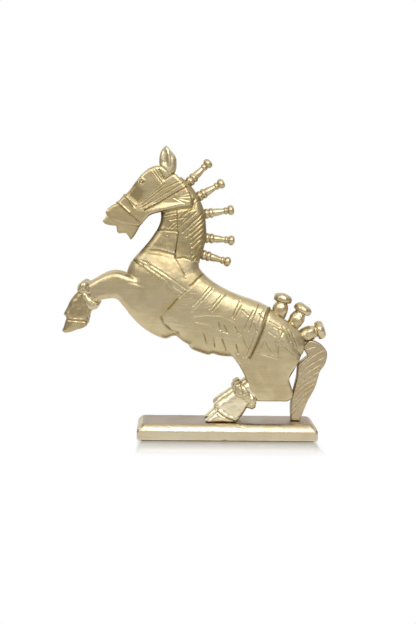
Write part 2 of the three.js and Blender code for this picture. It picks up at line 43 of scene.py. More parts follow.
def onlySelect(*objects):
    if bpy.context.object and bpy.context.object.mode != "OBJECT":
        bpy.ops.object.mode_set(mode="OBJECT")
    bpy.ops.object.select_all(action="DESELECT")
    for item in objects:
        item.select_set(True)
    bpy.context.view_layer.objects.active = objects[0]


def addModifier(piece, kind, **values):
    modifier = piece.modifiers.new(kind.lower(), kind)
    for key, value in values.items():
        setattr(modifier, key, value)
    onlySelect(piece)
    bpy.ops.object.modifier_apply(modifier=modifier.name)


def applyPlace():
    bpy.ops.object.transform_apply(location=True, rotation=True, scale=True)


def choose(piece, kind, chosen):
    # leaves the piece in edit mode with only the chosen vertices, edges or faces selected
    onlySelect(piece)
    bpy.ops.object.mode_set(mode="EDIT")
    bpy.ops.mesh.select_mode(type=kind)
    bpy.ops.mesh.select_all(action="DESELECT")
    bpy.ops.object.mode_set(mode="OBJECT")
    data = piece.data
    {"VERT": data.vertices, "EDGE": data.edges, "FACE": data.polygons}[kind].foreach_set("select", chosen)
    bpy.ops.object.mode_set(mode="EDIT")


def stepUp(rise, wide, deep):
    bpy.ops.mesh.extrude_region_move(TRANSFORM_OT_translate={"value": (0, 0, rise / 1000)})
    bpy.ops.transform.resize(value=(wide, deep, 1))


def joinPieces(name, parts):
    onlySelect(*parts)
    bpy.ops.object.join()
    parts[0].name = name
    parts[0].data.name = name
    return parts[0]


def twinOf(piece, name, mirrored=False):
    twin = piece.copy()
    twin.data = piece.data.copy()
    twin.name = name
    twin.data.name = name
    bpy.context.collection.objects.link(twin)
    if mirrored:
        twin.data.transform(Matrix.Diagonal((1, -1, 1, 1)))
        twin.data.flip_normals()
    return twin


def readVectors(collection, key):
    flat = np.empty(len(collection) * 3)
    collection.foreach_get(key, flat)
    return flat.reshape(-1, 3)


def coordinates(piece):
    return readVectors(piece.data.vertices, "co")


def outwards(piece):
    return readVectors(piece.data.vertices, "normal")


def moveTo(piece, points):
    piece.data.vertices.foreach_set("co", points.astype(np.float32).ravel())
    piece.data.update()


def pushOut(piece, lift):
    # lift is in mm along the vertex normals
    moveTo(piece, coordinates(piece) + outwards(piece) * np.asarray(lift).reshape(-1, 1) / 1000)


def sideView(piece):
    points = coordinates(piece) * 1000
    return np.column_stack([points[:, 0], points[:, 2] - soleHeight])


def smoothStep(values):
    share = np.clip(values, 0, 1)
    return share * share * (3 - 2 * share)


# A board is a closed outline of the side view with a thickness and rounded edges, all in mm

def turnAt(before, here, after):
    arriving = Vector((here[0] - before[0], here[1] - before[1]))
    leaving = Vector((after[0] - here[0], after[1] - here[1]))
    return math.degrees(arriving.angle(leaving))


def sawnBoard(name, values, middle=0.0, cornerAngle=38):
    outline, half, edge = values["outline"], values["half"], values["edge"]
    curve = bpy.data.curves.new(name, "CURVE")
    curve.dimensions = "2D"
    curve.fill_mode = "BOTH"
    spline = curve.splines.new("BEZIER")
    spline.bezier_points.add(len(outline) - 1)
    spline.use_cyclic_u = True
    spline.resolution_u = 5
    for i, place in enumerate(outline):
        point = spline.bezier_points[i]
        turn = turnAt(outline[i - 1], place, outline[(i + 1) % len(outline)])
        kind = "VECTOR" if turn > cornerAngle else "AUTO"
        point.co = (place[0] / 1000, (place[1] + soleHeight) / 1000, 0)
        point.handle_left_type = kind
        point.handle_right_type = kind
    curve.extrude = (half - edge) / 1000
    curve.bevel_depth = edge / 1000
    curve.bevel_resolution = 5
    curve.offset = -edge / 1000
    board = bpy.data.objects.new(name, curve)
    bpy.context.collection.objects.link(board)
    board.rotation_euler = (math.pi / 2, 0, 0)
    board.location = (0, middle / 1000, 0)
    onlySelect(board)
    bpy.ops.object.convert(target="MESH")
    applyPlace()
    bpy.ops.object.mode_set(mode="EDIT")
    bpy.ops.mesh.select_all(action="SELECT")
    bpy.ops.mesh.remove_doubles(threshold=0.00001)
    bpy.ops.mesh.normals_make_consistent(inside=False)
    bpy.ops.object.mode_set(mode="OBJECT")
    return board


def thinAlong(board, start, end, amounts):
    # scales the thickness by amounts spread evenly between two places of the side view
    flat = sideView(board)
    run = np.array(end, dtype=float) - np.array(start, dtype=float)
    share = (flat - np.array(start)) @ run / (run @ run)
    points = coordinates(board)
    points[:, 1] *= np.interp(share, np.linspace(0, 1, len(amounts)), amounts)
    moveTo(board, points)


def dome(piece, outline, reach, drop, middle=0.0):
    # thins the piece towards the outline, so that both faces are cushioned
    depthIn = np.clip(distanceInside(sideView(piece), outline), 0, reach)
    points = coordinates(piece)
    centre = middle / 1000
    points[:, 1] = centre + (points[:, 1] - centre) * (1 - drop * (1 - depthIn / reach) ** 2)
    moveTo(piece, points)


def weld(name, boards, voxel, smoothing):
    piece = joinPieces(name, boards)
    addModifier(piece, "REMESH", mode="VOXEL", voxel_size=voxel / 1000, adaptivity=0)
    addModifier(piece, "SMOOTH", factor=0.5, iterations=smoothing)
    return piece


def crumple(piece, size, depth, seed):
    # unevenness of hand-laid sheet, size and depth in mm
    texture = bpy.data.textures.new(f"{piece.name}Crumple", "CLOUDS")
    texture.noise_scale = size / 1000
    texture.noise_depth = 1
    shift = Vector((seed * 0.37, seed * 0.11, seed * 0.05))
    piece.data.transform(Matrix.Translation(shift))
    addModifier(piece, "DISPLACE", texture=texture, texture_coords="LOCAL", strength=2 * depth / 1000,
                mid_level=0.5)
    piece.data.transform(Matrix.Translation(-shift))


def softenAt(piece, spots, iterations):
    # extra smoothing round some places of the side view: (x, z, reach)
    flat = sideView(piece)
    weight = np.zeros(len(flat))
    for x, z, reach in spots:
        weight = np.maximum(weight, smoothStep(1.5 - np.linalg.norm(flat - (x, z), axis=1) / reach))
    group = piece.vertex_groups.new(name="soften")
    for step in range(1, 11):
        chosen = np.flatnonzero(np.ceil(weight * 10) == step)
        group.add(chosen.tolist(), step / 10, "REPLACE")
    addModifier(piece, "SMOOTH", factor=0.5, iterations=iterations, vertex_group="soften")
    piece.vertex_groups.remove(piece.vertex_groups["soften"])


# Distances in the side view, in mm

def nearestOn(flat, line):
    # how far each place is from the line, and the line's nearest place
    best = np.full(len(flat), 1e9)
    nearest = flat.copy()
    line = np.array(line, dtype=float)
    for first, second in zip(line[:-1], line[1:]):
        run = second - first
        share = np.clip(((flat - first) @ run) / max(run @ run, 1e-9), 0, 1)
        place = first + share[:, None] * run
        away = np.linalg.norm(flat - place, axis=1)
        closer = away < best
        best[closer] = away[closer]
        nearest[closer] = place[closer]
    return best, nearest


def distanceTo(flat, line):
    return nearestOn(flat, line)[0]


def closeness(flat, line, reach):
    # 1 on the line, fading out over about twice the reach
    return np.exp(-(distanceTo(flat, line) / reach) ** 2)


def shifted(line, x, z=0):
    return [(place[0] + x, place[1] + z) for place in line]


def distanceInside(flat, outline):
    closed = np.array([*outline, outline[0]], dtype=float)
    inside = np.zeros(len(flat), dtype=bool)
    for (x1, z1), (x2, z2) in zip(closed[:-1], closed[1:]):
        if z1 == z2:
            continue
        crosses = (flat[:, 1] > min(z1, z2)) & (flat[:, 1] <= max(z1, z2))
        inside ^= crosses & (flat[:, 0] < x1 + (flat[:, 1] - z1) * (x2 - x1) / (z2 - z1))
    away = distanceTo(flat, closed)
    return np.where(inside, away, -away)


# Work on the sheet: strokes are runs of points in the side view, struck into both faces

def maskOf(piece, layer="residueAndShade"):
    # two painted layers: the first is the olive residue of the strokes, also used as painted shade along
    # lapped edges and under ledges; the second is brown painted shade
    if layer not in piece.data.attributes:
        piece.data.attributes.new(layer, "FLOAT", "POINT")
    values = np.empty(len(piece.data.vertices))
    piece.data.attributes[layer].data.foreach_get("value", values)
    return values


def keepMask(piece, values, layer="residueAndShade"):
    piece.data.attributes[layer].data.foreach_set("value", np.clip(values, 0, 1).astype(np.float32))


def paintedShade(piece, amount):
    keepMask(piece, np.maximum(maskOf(piece, "paintedShade"), amount), "paintedShade")


def chase(piece, strokes, width, depth, lip=0.2, stain=0.7):
    flat = sideView(piece)
    facing = np.clip((np.abs(outwards(piece)[:, 1]) - 0.2) / 0.3, 0, 1)
    groove = np.zeros(len(flat))
    burr = np.zeros(len(flat))
    for stroke in strokes:
        away = distanceTo(flat, stroke)
        groove = np.maximum(groove, np.exp(-(away / (width / 2)) ** 2))
        burr = np.maximum(burr, np.exp(-((away - width) / (width / 2.2)) ** 2))
    pushOut(piece, (lip * burr * (1 - groove) - groove) * depth * facing)
    # the darkening is the olive residue in the groove; some strokes use it as painted shade under ledges
    # and edges
    keepMask(piece, np.maximum(maskOf(piece), stain * groove * facing))


def chaseAll(piece, values):
    # "cuts" names lists of strokes and gives the width, depth, lip and darkening of each
    for key, cut in values["cuts"].items():
        chase(piece, values[key], *cut)


def raiseInside(piece, outline, height, edgeWidth=0.8, stain=0.5):
    # a sheet lapped over its neighbour: raised inside the outline, with a dark line at its edge, a sunk
    # line darkened with painted shade
    depthIn = distanceInside(sideView(piece), outline)
    lap = np.exp(-((depthIn + 0.6) / 0.6) ** 2)
    pushOut(piece, smoothStep(depthIn / edgeWidth + 0.5) * height - lap * 0.3)
    keepMask(piece, np.maximum(maskOf(piece), stain * lap))


def shadeRim(piece, line, reach, amount):
    # painted shade on the sawn edge of a board along a line of the side view
    sideways = smoothStep((0.75 - np.abs(outwards(piece)[:, 1])) * 3)
    share = smoothStep(2 - distanceTo(sideView(piece), line) / reach)
    paintedShade(piece, amount * share * sideways)


def shadeAlong(piece, line, width, amount):
    # a soft brown shadow line on both faces
    paintedShade(piece, amount * closeness(sideView(piece), line, width / 2))


def swell(piece, spots):
    # low swellings on both faces: (x, z, reach, height)
    flat = sideView(piece)
    lift = np.zeros(len(flat))
    for x, z, reach, height in spots:
        lift += height * np.exp(-(np.linalg.norm(flat - (x, z), axis=1) / reach) ** 2)
    pushOut(piece, lift * np.abs(outwards(piece)[:, 1]))


borderReach = 0.3  # mm outside a trim's outline that are still kept, and then drawn onto it
sunkInSkin = 0.35  # mm of a trim's thickness that lie inside the skin


def layTrim(name, skin, outline, thickness):
    # a sheet of its own over the skin: the part of the skin inside the outline, lifted and given a
    # thickness that reaches down into the skin
    trim = twinOf(skin, name)
    choose(trim, "VERT", distanceInside(sideView(trim), outline) < -borderReach)
    bpy.ops.mesh.delete(type="VERT")
    bpy.ops.object.mode_set(mode="OBJECT")
    snapToOutline(trim, outline)
    facing = smoothStep(np.abs(outwards(trim)[:, 1]) * 1.6)
    pushOut(trim, thickness * (0.3 + 0.7 * facing))
    addModifier(trim, "SOLIDIFY", thickness=(thickness + sunkInSkin) / 1000, offset=-1)
    return trim


def snapToOutline(piece, outline):
    away, nearest = nearestOn(sideView(piece), [*outline, outline[0]])
    border = away < borderReach + 0.01
    points = coordinates(piece)
    points[border, 0] = nearest[border, 0] / 1000
    points[border, 2] = (nearest[border, 1] + soleHeight) / 1000
    moveTo(piece, points)


def splitAt(piece, place, direction, names):
    # two closed pieces on either side of a cut across the side view
    parts = []
    for name, lower in zip(names, (True, False)):
        part = twinOf(piece, name)
        onlySelect(part)
        bpy.ops.object.mode_set(mode="EDIT")
        bpy.ops.mesh.select_all(action="SELECT")
        bpy.ops.mesh.bisect(plane_co=(place[0] / 1000, 0, (place[1] + soleHeight) / 1000),
                            plane_no=(direction[0], 0, direction[1]), use_fill=True,
                            clear_outer=lower, clear_inner=not lower)
        bpy.ops.object.mode_set(mode="OBJECT")
        parts.append(part)
    bpy.data.objects.remove(piece)
    return parts


def fan(start, ends):
    return [[start, end] for end in ends]


def hatch(first, last, direction, count):
    # parallel strokes: their starts lie between first and last, each as long as direction
    strokes = []
    for i in range(count):
        share = i / max(count - 1, 1)
        x = first[0] + (last[0] - first[0]) * share
        z = first[1] + (last[1] - first[1]) * share
        strokes.append([(x, z), (x + direction[0], z + direction[1])])
    return strokes


print("camera")

camera = {
    "azimuth": -2.3,
    "elevation": 6.5,
    "roll": 1.0,
    "distance": 1.0,
    "sensor": 36,
    "lens": 57.1154,
    "aim": (-0.0209, 0.0, 0.1268),
}


def placeCamera(values):
    turn = Matrix.Translation(values["aim"])
    for angle, axis in ((values["azimuth"], "Z"), (90 - values["elevation"], "X"), (values["roll"], "Z")):
        turn = turn @ Matrix.Rotation(math.radians(angle), 4, axis)
    bpy.ops.object.camera_add()
    eye = bpy.context.object
    eye.name = "camera"
    eye.data.lens = values["lens"]
    eye.data.sensor_width = values["sensor"]
    eye.data.clip_start = 0.01
    eye.matrix_world = turn @ Matrix.Translation((0, 0, values["distance"]))
    bpy.context.scene.camera = eye


placeCamera(camera)


print("body")

body = {
    "outline": [
        (-66, 238), (-70, 227), (-71, 217), (-69.5, 207), (-70.5, 198.5), (-79.5, 182.5), (-87, 173.5),
        (-95, 164.5), (-100, 157.5), (-103, 148.5), (-105.5, 136), (-106, 124), (-103, 112), (-94, 101),
        (-83, 91.5), (-69, 84.2), (-62, 83.2), (-57, 85.6), (-53, 86.2), (-47.5, 82.3), (-39.5, 77.6),
        (-38.7, 74.8), (-35.8, 72.8), (-29.4, 70.4), (-19.8, 67.4), (-16.2, 69.2), (-12.6, 68.2),
        (-7.8, 67), (5.1, 66), (13, 54), (20, 42), (30, 35), (42, 33), (62, 42), (74, 67), (77.2, 79),
        (74, 89), (64, 99), (51, 107.5), (37, 117.5), (22, 123.5), (6, 129), (-11, 137), (-24, 146.5),
        (-31, 155), (-30.5, 163), (-27, 174), (-24.5, 186), (-24.5, 196), (-26, 207.5), (-29, 217.5),
        (-34.5, 228), (-42, 237.5), (-51, 245)],
    "half": 16.5,
    "edge": 8.5,
    "domeReach": 24,
    "domeHeights": [150, 180],
    "domeDrops": [0.26, 0.04],
    "neckTaper": [1.0, 0.92, 0.81, 0.78, 0.765, 0.75, 0.67, 0.56],
    "chestTaper": [0.84, 0.94, 1.0],
    "voxel": 0.66,
    "neckLine": [(-74, 148), (-52, 240)],
    "chestLine": [(-106, 130), (-84, 130)],
    "legThinning": [1, 1, 0.96, 0.88, 0.76],
    "softSpots": [(-88, 135, 11), (-84, 115, 11), (14, 62, 12), (45, 60, 12), (68, 66, 7)],
    "swellings": [(-75, 128, 26, 1.2), (-20, 103, 28, 0.9), (40, 88, 24, 0.8), (-64, 150, 16, 0.6)],
    "neckCut": [(-54.4, 165), (-0.12, -1)],
    "haunchCut": [(29, 91), (0.925, -0.381)],
}
upperForeleg = {
    "outline": [
        (-80, 138), (-92, 143.5), (-102.5, 148.2), (-109.4, 150.2), (-113.7, 150.6), (-118.8, 150),
        (-125.7, 147.3), (-135.1, 142), (-142, 138), (-144, 131), (-138, 119), (-132, 117),
        (-128.7, 121.7), (-121.9, 123.1), (-115.1, 123.6), (-111.6, 122.4), (-107.3, 117.7),
        (-102.1, 111.6), (-96, 104.8), (-84, 97)],
    "half": 6.6,
    "edge": 5.6,
    "offset": 10.5,
    "sinkFrom": (-122, 135),
    "sinkTo": (-82, 118),
}
hindLeg = {
    "outline": [
        (0, 72), (5.5, 65.2), (9.9, 59), (13.6, 53), (16.7, 47.7), (19, 41), (22, 34), (25.5, 27.5),
        (29.5, 21.7), (42, 21.6), (55, 21.8), (60.3, 21.9), (65.1, 25.5), (65.6, 31.5), (63.2, 39.3),
        (61.8, 44.2), (63, 49.5), (69, 59), (73, 66), (50, 95)],
    "half": 6.4,
    "edge": 2.6,
    "offset": 10.9,
    "sinkFrom": (40, 48),
    "sinkTo": (12, 80),
}
mane = {
    "outline": [
        (-54, 214), (-52.4, 190.5), (-54.3, 175), (-54.6, 164.5), (-45.8, 165.8), (-36, 162), (-26, 157),
        (-10, 175), (-10, 250), (-50, 250)],
    "lift": 0.5,
    "rows": [
        ((-41, 198), (-38, 162), (12.5, 11), 9), ((-56, 199), (-44, 186), (17, 15.5), 4),
        ((-50, 205), (-42, 214), (10, 8), 3), ((-38, 176), (-36, 164), (7, 8), 3)],
}
neckPlate = {
    "outline": [
        (-80, 190.3), (-66, 190.6), (-54, 189.8), (-54.6, 175), (-56, 169.3), (-66, 172.5), (-76, 175.6),
        (-92, 176), (-90, 186)],
    "thickness": 0.7,
}


def makeBody():
    board = sawnBoard("bodyBoard", body)
    board = weld("bodyBoard", [board], voxel=0.9, smoothing=2)
    drop = np.interp(sideView(board)[:, 1], body["domeHeights"], body["domeDrops"])
    dome(board, body["outline"], body["domeReach"], drop)
    thinAlong(board, *body["neckLine"], body["neckTaper"])
    thinAlong(board, *body["chestLine"], body["chestTaper"])
    parts = [board]
    for leg in (upperForeleg, hindLeg):
        for side in (-1, 1):
            board = sawnBoard("leg", leg, middle=side * leg["offset"])
            board = weld("leg", [board], voxel=0.9, smoothing=1)
            thinAlong(board, leg["sinkFrom"], leg["sinkTo"], body["legThinning"])
            parts.append(board)
    skin = weld("bodySkin", parts, body["voxel"], smoothing=8)
    softenAt(skin, body["softSpots"], iterations=90)
    swell(skin, body["swellings"])
    crumple(skin, size=26, depth=0.4, seed=4)
    crumple(skin, size=8, depth=0.14, seed=9)
    raiseInside(skin, mane["outline"], mane["lift"])
    return skin


bodySkin = makeBody()


print("saddle cloth and collars")

saddle = {
    "outline": [
        (-22, 153), (-26, 149.6), (-38.3, 136.7), (-51.5, 123.8), (-67.1, 106.1), (-64.1, 100.8),
        (-58.1, 94.7), (-50.6, 91.2), (-46, 82), (-42, 60), (22, 60), (19.5, 66.5), (21.9, 70),
        (32.4, 96.3), (36.9, 111), (39.7, 115.8), (44, 126)],
    "thickness": 0.9,
    "bands": [
        [(-20.3, 136.4), (-36.6, 117.9)], [(-17.1, 134.9), (-37.7, 112.3)], [(-9, 127.8), (-20.3, 114.9)],
        [(-3.5, 129.5), (-17.5, 112.6)], [(10.1, 123.3), (2.5, 107.2)], [(12.6, 119.3), (4.5, 105.7)],
        [(23.8, 113.9), (10.8, 89.7)], [(29.3, 119.6), (19.1, 93.8)]],
    "ribs": [
        [(-36.4, 107.5), (-22, 109.2), (-8.7, 108.7), (4.2, 103.2)],
        [(-36, 102.5), (-22, 100), (-14, 95.8), (2, 89.6), (11.7, 86.1)]],
    "dashes": [
        [(-10.9, 102.3), (-8.8, 94.3)], [(-5.3, 99.1), (-1.6, 91.9)], [(3.4, 100.4), (9.2, 91.7)],
        [(-25.5, 90.9), (-22.5, 80.5)], [(-15.6, 86.6), (-14.1, 76.9)], [(-7, 85.5), (-2.8, 73)],
        [(7, 79.6), (9.6, 70.4)]],
    "diagonals": [
        [(13.5, 88), (14.5, 85.7), (16, 81), (19.5, 75.7)], [(12.7, 114.6), (18.4, 109)],
        [(29.9, 110.8), (34, 103.6)], [(24.1, 101.1), (28.3, 92.3)]],
    "fineFronts": [
        [(-40, 131), (-34, 131)], [(-45, 125.5), (-37, 126.5)], [(-50, 120), (-41, 119.5)],
        [(-55, 114.5), (-44, 113)], [(-60, 108.5), (-47, 106)], [(-62, 102.5), (-48, 101)],
        [(-30, 141.5), (-26.5, 139)], [(-56, 97), (-42, 96.5)], [(-31, 122), (-24, 124)],
        [(-24, 117), (-18, 119.5)]],
    "rearRidge": [(39, 115.8), (36.2, 111), (31.7, 96.3), (21.2, 70), (19, 66.5)],
    "cuts": {"bands": (1.1, 0.45, 0.2, 0.65), "ribs": (1.1, 0.2, 0.4, 0.3), "dashes": (1.3, 0.5, 0.25, 1.0),
             "diagonals": (1.2, 0.4, 0.3, 0.6), "fineFronts": (1.0, 0.13, 0.5, 0.2)},
}
breastCollar = {
    "outline": [
        (-106, 157), (-95.2, 159.8), (-85, 153.4), (-71.5, 140.9), (-52, 126.6), (-39.6, 136.4),
        (-52, 143.8), (-63.8, 152.9), (-83.6, 163.7), (-102, 170.5)],
    "thickness": 0.5,
    "grooves": [
        [(-99, 163.8), (-84, 157.5), (-66, 145.2), (-48, 131.5)],
        [(-97, 165), (-83.5, 160.5), (-64, 148.6), (-44, 134.5)],
        [(-93, 158.5), (-78, 149.2), (-60, 134.5), (-51.5, 128.5)]],
    "lowerEdge": [[(-95.2, 159.8), (-85, 153.4), (-71.5, 140.9), (-52, 126.6)]],
    "stainedGroove": [[(-96, 162.5), (-92, 160), (-87.5, 156.8)]],
    "stainSpots": [[(-82.8, 159.8), (-80.3, 157)], [(-97, 165.5), (-95, 164.5)]],
    "cuts": {"grooves": (1.1, 0.3, 0.15, 0.5), "lowerEdge": (1.6, 0.4, 0, 0.5),
             "stainedGroove": (2.4, 0.9, 0.3, 1.0), "stainSpots": (1.8, 0.4, 0, 1.0)},
    "hatches": [((-62, 138), (-48, 131.5), (-4, 4.5), 4), ((-86, 154.5), (-70, 143.6), (3, 3.6), 4)],
}
rumpCloth = {
    "outline": [
        (20.5, 66.5), (34.4, 96.5), (39, 111), (42, 117), (52, 112), (66, 101), (80, 92), (80, 75),
        (70.9, 66.2), (60, 75), (49, 83.8), (48.6, 67.3), (38, 70.2), (27.2, 73.2)],
    "thickness": 0.45,
    "veins": [
        [(40.1, 102.9), (49.8, 97.4)], [(49.4, 95), (50.8, 88.2)], [(34.9, 84.3), (44.1, 69.9)],
        [(46.1, 84.5), (49.7, 69.2)], [(34.9, 84.3), (31.5, 75.5)], [(53, 98), (61, 83)],
        [(58, 95.5), (65.5, 79)], [(63, 91.5), (69.5, 76.5)], [(50, 84.5), (53.5, 92.5), (62, 88)],
        [(44, 98), (56, 92), (68, 81)], [(39, 93.5), (46, 88.5)], [(66, 86), (73, 82)]],
    "ridge": [(49.8, 107.5), (59.9, 101.2), (69, 93.1), (76.1, 82), (76, 70)],
}


# the line between the two cloths is a groove darkened with painted shade
clothGap = shifted(saddle["rearRidge"], 2.1)  # the dark line between the two cloths


def makeSaddle():
    cloth = layTrim("saddleCloth", bodySkin, saddle["outline"], saddle["thickness"])
    pushOut(cloth, 0.6 * closeness(sideView(cloth), shifted(saddle["rearRidge"], -1.6), reach=1.1))
    chase(cloth, [shifted(saddle["rearRidge"], -3.8)], width=1.0, depth=0.35, stain=0.3)
    chase(cloth, [saddle["outline"][1:9]], width=1.2, depth=0.2, lip=0, stain=0.8)
    shadeAlong(cloth, shifted(saddle["rearRidge"], 0.4), width=1.4, amount=0.9)
    chaseAll(cloth, saddle)
    return cloth


def makeBreastCollar():
    band = layTrim("breastCollar", bodySkin, breastCollar["outline"], breastCollar["thickness"])
    chaseAll(band, breastCollar)
    for first, last, direction, count in breastCollar["hatches"]:
        chase(band, hatch(first, last, direction, count), width=1.0, depth=0.2, lip=0.3, stain=0.3)
    return band


def makeRumpCloth():
    cloth = layTrim("rumpCloth", bodySkin, rumpCloth["outline"], rumpCloth["thickness"])
    ridge = closeness(sideView(cloth), rumpCloth["ridge"], reach=1.6)
    pushOut(cloth, ridge * 0.6 * np.abs(outwards(cloth)[:, 1]))
    chase(cloth, rumpCloth["veins"], width=1.1, depth=0.35, lip=0.15, stain=0.65)
    chase(cloth, [clothGap], width=2.2, depth=1.1, lip=0, stain=0.3)
    shadeAlong(cloth, clothGap, width=3.2, amount=1.0)
    return cloth


saddleCloth = makeSaddle()
breastBand = makeBreastCollar()
rumpCover = makeRumpCloth()
neckCollar = layTrim("neckCollar", bodySkin, neckPlate["outline"], neckPlate["thickness"])


print("chasing on the body")

chased = {
    "seams": [[(-52.2, 190.6), (-54.2, 174.8), (-55.7, 168.5), (-54.4, 163.8), (-44.7, 147.3)]],
    "chestEdge": [[(-88, 172.5), (-70, 171), (-56.4, 167.5)]],
    "shoulder": [[(-102.5, 148.6), (-94.2, 145.2)], [(-99.6, 140.7), (-85, 137)]],
    "neckLedge": [[(-76, 191.4), (-66, 191.6), (-54, 190.9)]],
    "saddleFront": [
        [(-25, 151), (-38.7, 137.6), (-52.3, 124.4), (-68.2, 106.2), (-65, 100), (-58.8, 93.8),
         (-51.5, 90.3), (-49, 86)]],
    "clothEdges": [
        [(26.5, 72.4), (37.8, 69.2), (48.9, 66.2)], [(49.6, 83.2), (60, 74), (70.6, 65.4)],
        [(49.2, 66.8), (49.5, 83)]],
    "jawShadow": [[(-71, 208.2), (-60, 210.8), (-48, 213.4), (-37.6, 214), (-36.8, 222)]],
    "throatRim": [(-62, 210.5), (-70, 216), (-69.5, 207), (-70.5, 198.5), (-79.5, 182.5)],
    "bellyRim": [
        (-47.5, 82.3), (-39.5, 77.6), (-38.7, 74.8), (-19.8, 67.4), (-7.8, 67), (5.1, 66), (13, 54),
        (22, 34), (29.5, 21.7)],
    "smear": [[(-42.5, 135.5), (-41, 133.8)], [(-45.8, 146.6), (-44.5, 144.8)]],
    "neckLines": [
        [(-60.5, 202.2), (-46.7, 204.8)], [(-62, 194.5), (-55.5, 201.3)], [(-58.5, 194), (-51.5, 201)],
        [(-44.7, 205.4), (-52, 197)], [(-66, 206), (-54, 209)]],
    "cuts": {"seams": (0.9, 0.5, 0, 0.9), "chestEdge": (2.4, 0.2, 0.3, 0.2),
             "saddleFront": (2.0, 0.5, 0, 1.0), "clothEdges": (1.3, 0.3, 0, 0.7),
             "shoulder": (3, 0.25, 0, 0.2), "neckLines": (1.2, 0.4, 0.4, 0.5),
             "neckLedge": (2.0, 0.6, 0.2, 0.5), "jawShadow": (3.0, 0.8, 0, 0.5),
             "smear": (1.6, 0.1, 0, 1.0)},
}

for first, last, direction, count in mane["rows"]:
    chase(bodySkin, hatch(first, last, direction, count), width=1.2, depth=0.38, lip=0.1, stain=0.65)
chaseAll(bodySkin, chased)
shadeAlong(bodySkin, clothGap, width=3, amount=1.0)
shadeAlong(bodySkin, chased["throatRim"], width=2.2, amount=0.6)
shadeRim(bodySkin, chased["throatRim"], reach=2, amount=0.9)
shadeRim(bodySkin, chased["bellyRim"], reach=2, amount=0.5)

neckSkin, trunkSkin = splitAt(bodySkin, *body["neckCut"], ("neckSkin", "trunkSkin"))
barrelSkin, haunchSkin = splitAt(trunkSkin, *body["haunchCut"], ("barrelSkin", "haunchSkin"))


print("head")

head = {
    "outline": [
        (-49, 241), (-58, 249), (-70, 255.5), (-78, 253.5), (-87.5, 248), (-94, 240), (-101, 230.5),
        (-107.5, 224), (-112.5, 218.5), (-118, 215.5), (-122.5, 211.5), (-124, 208), (-120, 202),
        (-112, 199), (-100, 196), (-90.5, 195), (-86, 201), (-80, 206.5), (-71, 209.5), (-60, 212.2),
        (-48, 215), (-38.5, 216), (-38.5, 222.5), (-43, 234)],
    "half": 13.4,
    "edge": 3.4,
    "taper": [1.0, 1.0, 1.0, 0.95, 0.83, 0.72, 0.62],
    "taperLine": [(-45, 232), (-122, 205)],
    "softSpots": [(-105, 205, 12), (-116, 205, 8)],
    "voxel": 0.48,
}
muzzle = {
    "outline": [
        (-118, 213), (-123.2, 211.2), (-124.4, 208), (-122.8, 205.6), (-127.1, 200), (-125.1, 197.3),
        (-119.9, 195.8), (-113.6, 195.5), (-112.7, 189.9), (-111.5, 188.1), (-103.6, 188.5),
        (-101.5, 185.3), (-99.1, 181.6), (-96, 185.4), (-93.6, 189.4), (-90.5, 195.1), (-88, 199),
        (-95, 207), (-108, 213)],
    "half": 8,
    "edge": 1.0,
}
tack = {
    "cheekStrap": [
        (-44, 236.6), (-56, 229.6), (-68.5, 221.8), (-87.5, 211.2), (-91, 216.5), (-87, 221), (-69, 237),
        (-56, 246), (-48, 248)],
    "browband": [(-83.7, 251), (-71.5, 236), (-67, 239), (-75, 259), (-84, 259)],
    "noseband": [
        (-109, 229), (-93, 216.6), (-84, 209), (-83, 203), (-88, 197), (-99.5, 205.8), (-116, 220)],
    "thickness": 0.8,
    "strapLines": [
        [(-52, 240), (-69.6, 231.5), (-88, 216.8)], [(-66, 237.6), (-88, 219.6)],
        [(-48, 238.8), (-69, 225.6), (-88, 214)]],
    "browLines": [[(-79.7, 252.5), (-68.8, 238.2)], [(-77.5, 253.5), (-67.4, 240)]],
    "noseLines": [
        [(-104.6, 223.7), (-97, 214.1)], [(-111.6, 217.7), (-99.7, 207)], [(-110, 214.6), (-90.2, 199.3)],
        [(-107, 227.5), (-92.5, 216)]],
    "noseRidges": [
        [(-105.6, 226), (-93.9, 216.6)], [(-103.5, 222.3), (-95.5, 212.4)],
        [(-112.8, 219), (-101, 208.6)]],
    "fanStart": (-57, 224),
    "fanEnds": [(-41, 229), (-41, 225.6), (-42, 221.6), (-46, 218.6), (-52, 233)],
    "eye": (-89, 239.2),
    "eyeRadius": 2.9,
    "earHole": [(-61, 248.8), (-58.6, 247.4)],
    "strapEdge": [(-43.4, 239), (-43.6, 235.9), (-55.7, 228.7), (-68, 220.9), (-88, 209.8)],
    "jawRim": [
        (-100, 180), (-93.6, 189.4), (-90.5, 195.1), (-86, 201), (-80, 206.5), (-71, 209.5),
        (-60, 212.2)],
    "earNotch": [(-71.9, 250.9), (-66.3, 241.4), (-61.5, 244.5), (-57, 248.2)],
    "facet": [
        (-98, 240), (-90, 235.5), (-84.5, 230), (-87.5, 222), (-92.5, 216), (-100, 222), (-110, 229)],
    "underStrap": [(-42.9, 236.3), (-55.7, 228.7), (-68, 220.9), (-88, 209.8)],
}


def makeHead():
    skull = sawnBoard("skull", head)
    thinAlong(skull, *head["taperLine"], head["taper"])
    jaw = sawnBoard("jaw", muzzle, cornerAngle=15)
    skin = weld("headSkin", [skull, jaw], head["voxel"], smoothing=3)
    softenAt(skin, head["softSpots"], iterations=12)
    crumple(skin, size=22, depth=0.25, seed=6)
    return skin


def strikeEye(skin, place, radius):
    # a raised ring and a raised dot, with a sunk ring between them that is darkened with painted shade
    away = np.linalg.norm(sideView(skin) - np.array(place), axis=1)
    ring = np.exp(-((away - radius) / 0.6) ** 2)
    dot = np.exp(-(away / 0.8) ** 2)
    sunk = np.exp(-((away - radius * 0.55) / 0.55) ** 2)
    pushOut(skin, 0.8 * ring + 0.8 * dot - 0.5 * sunk)
    paintedShade(skin, 0.25 * sunk)


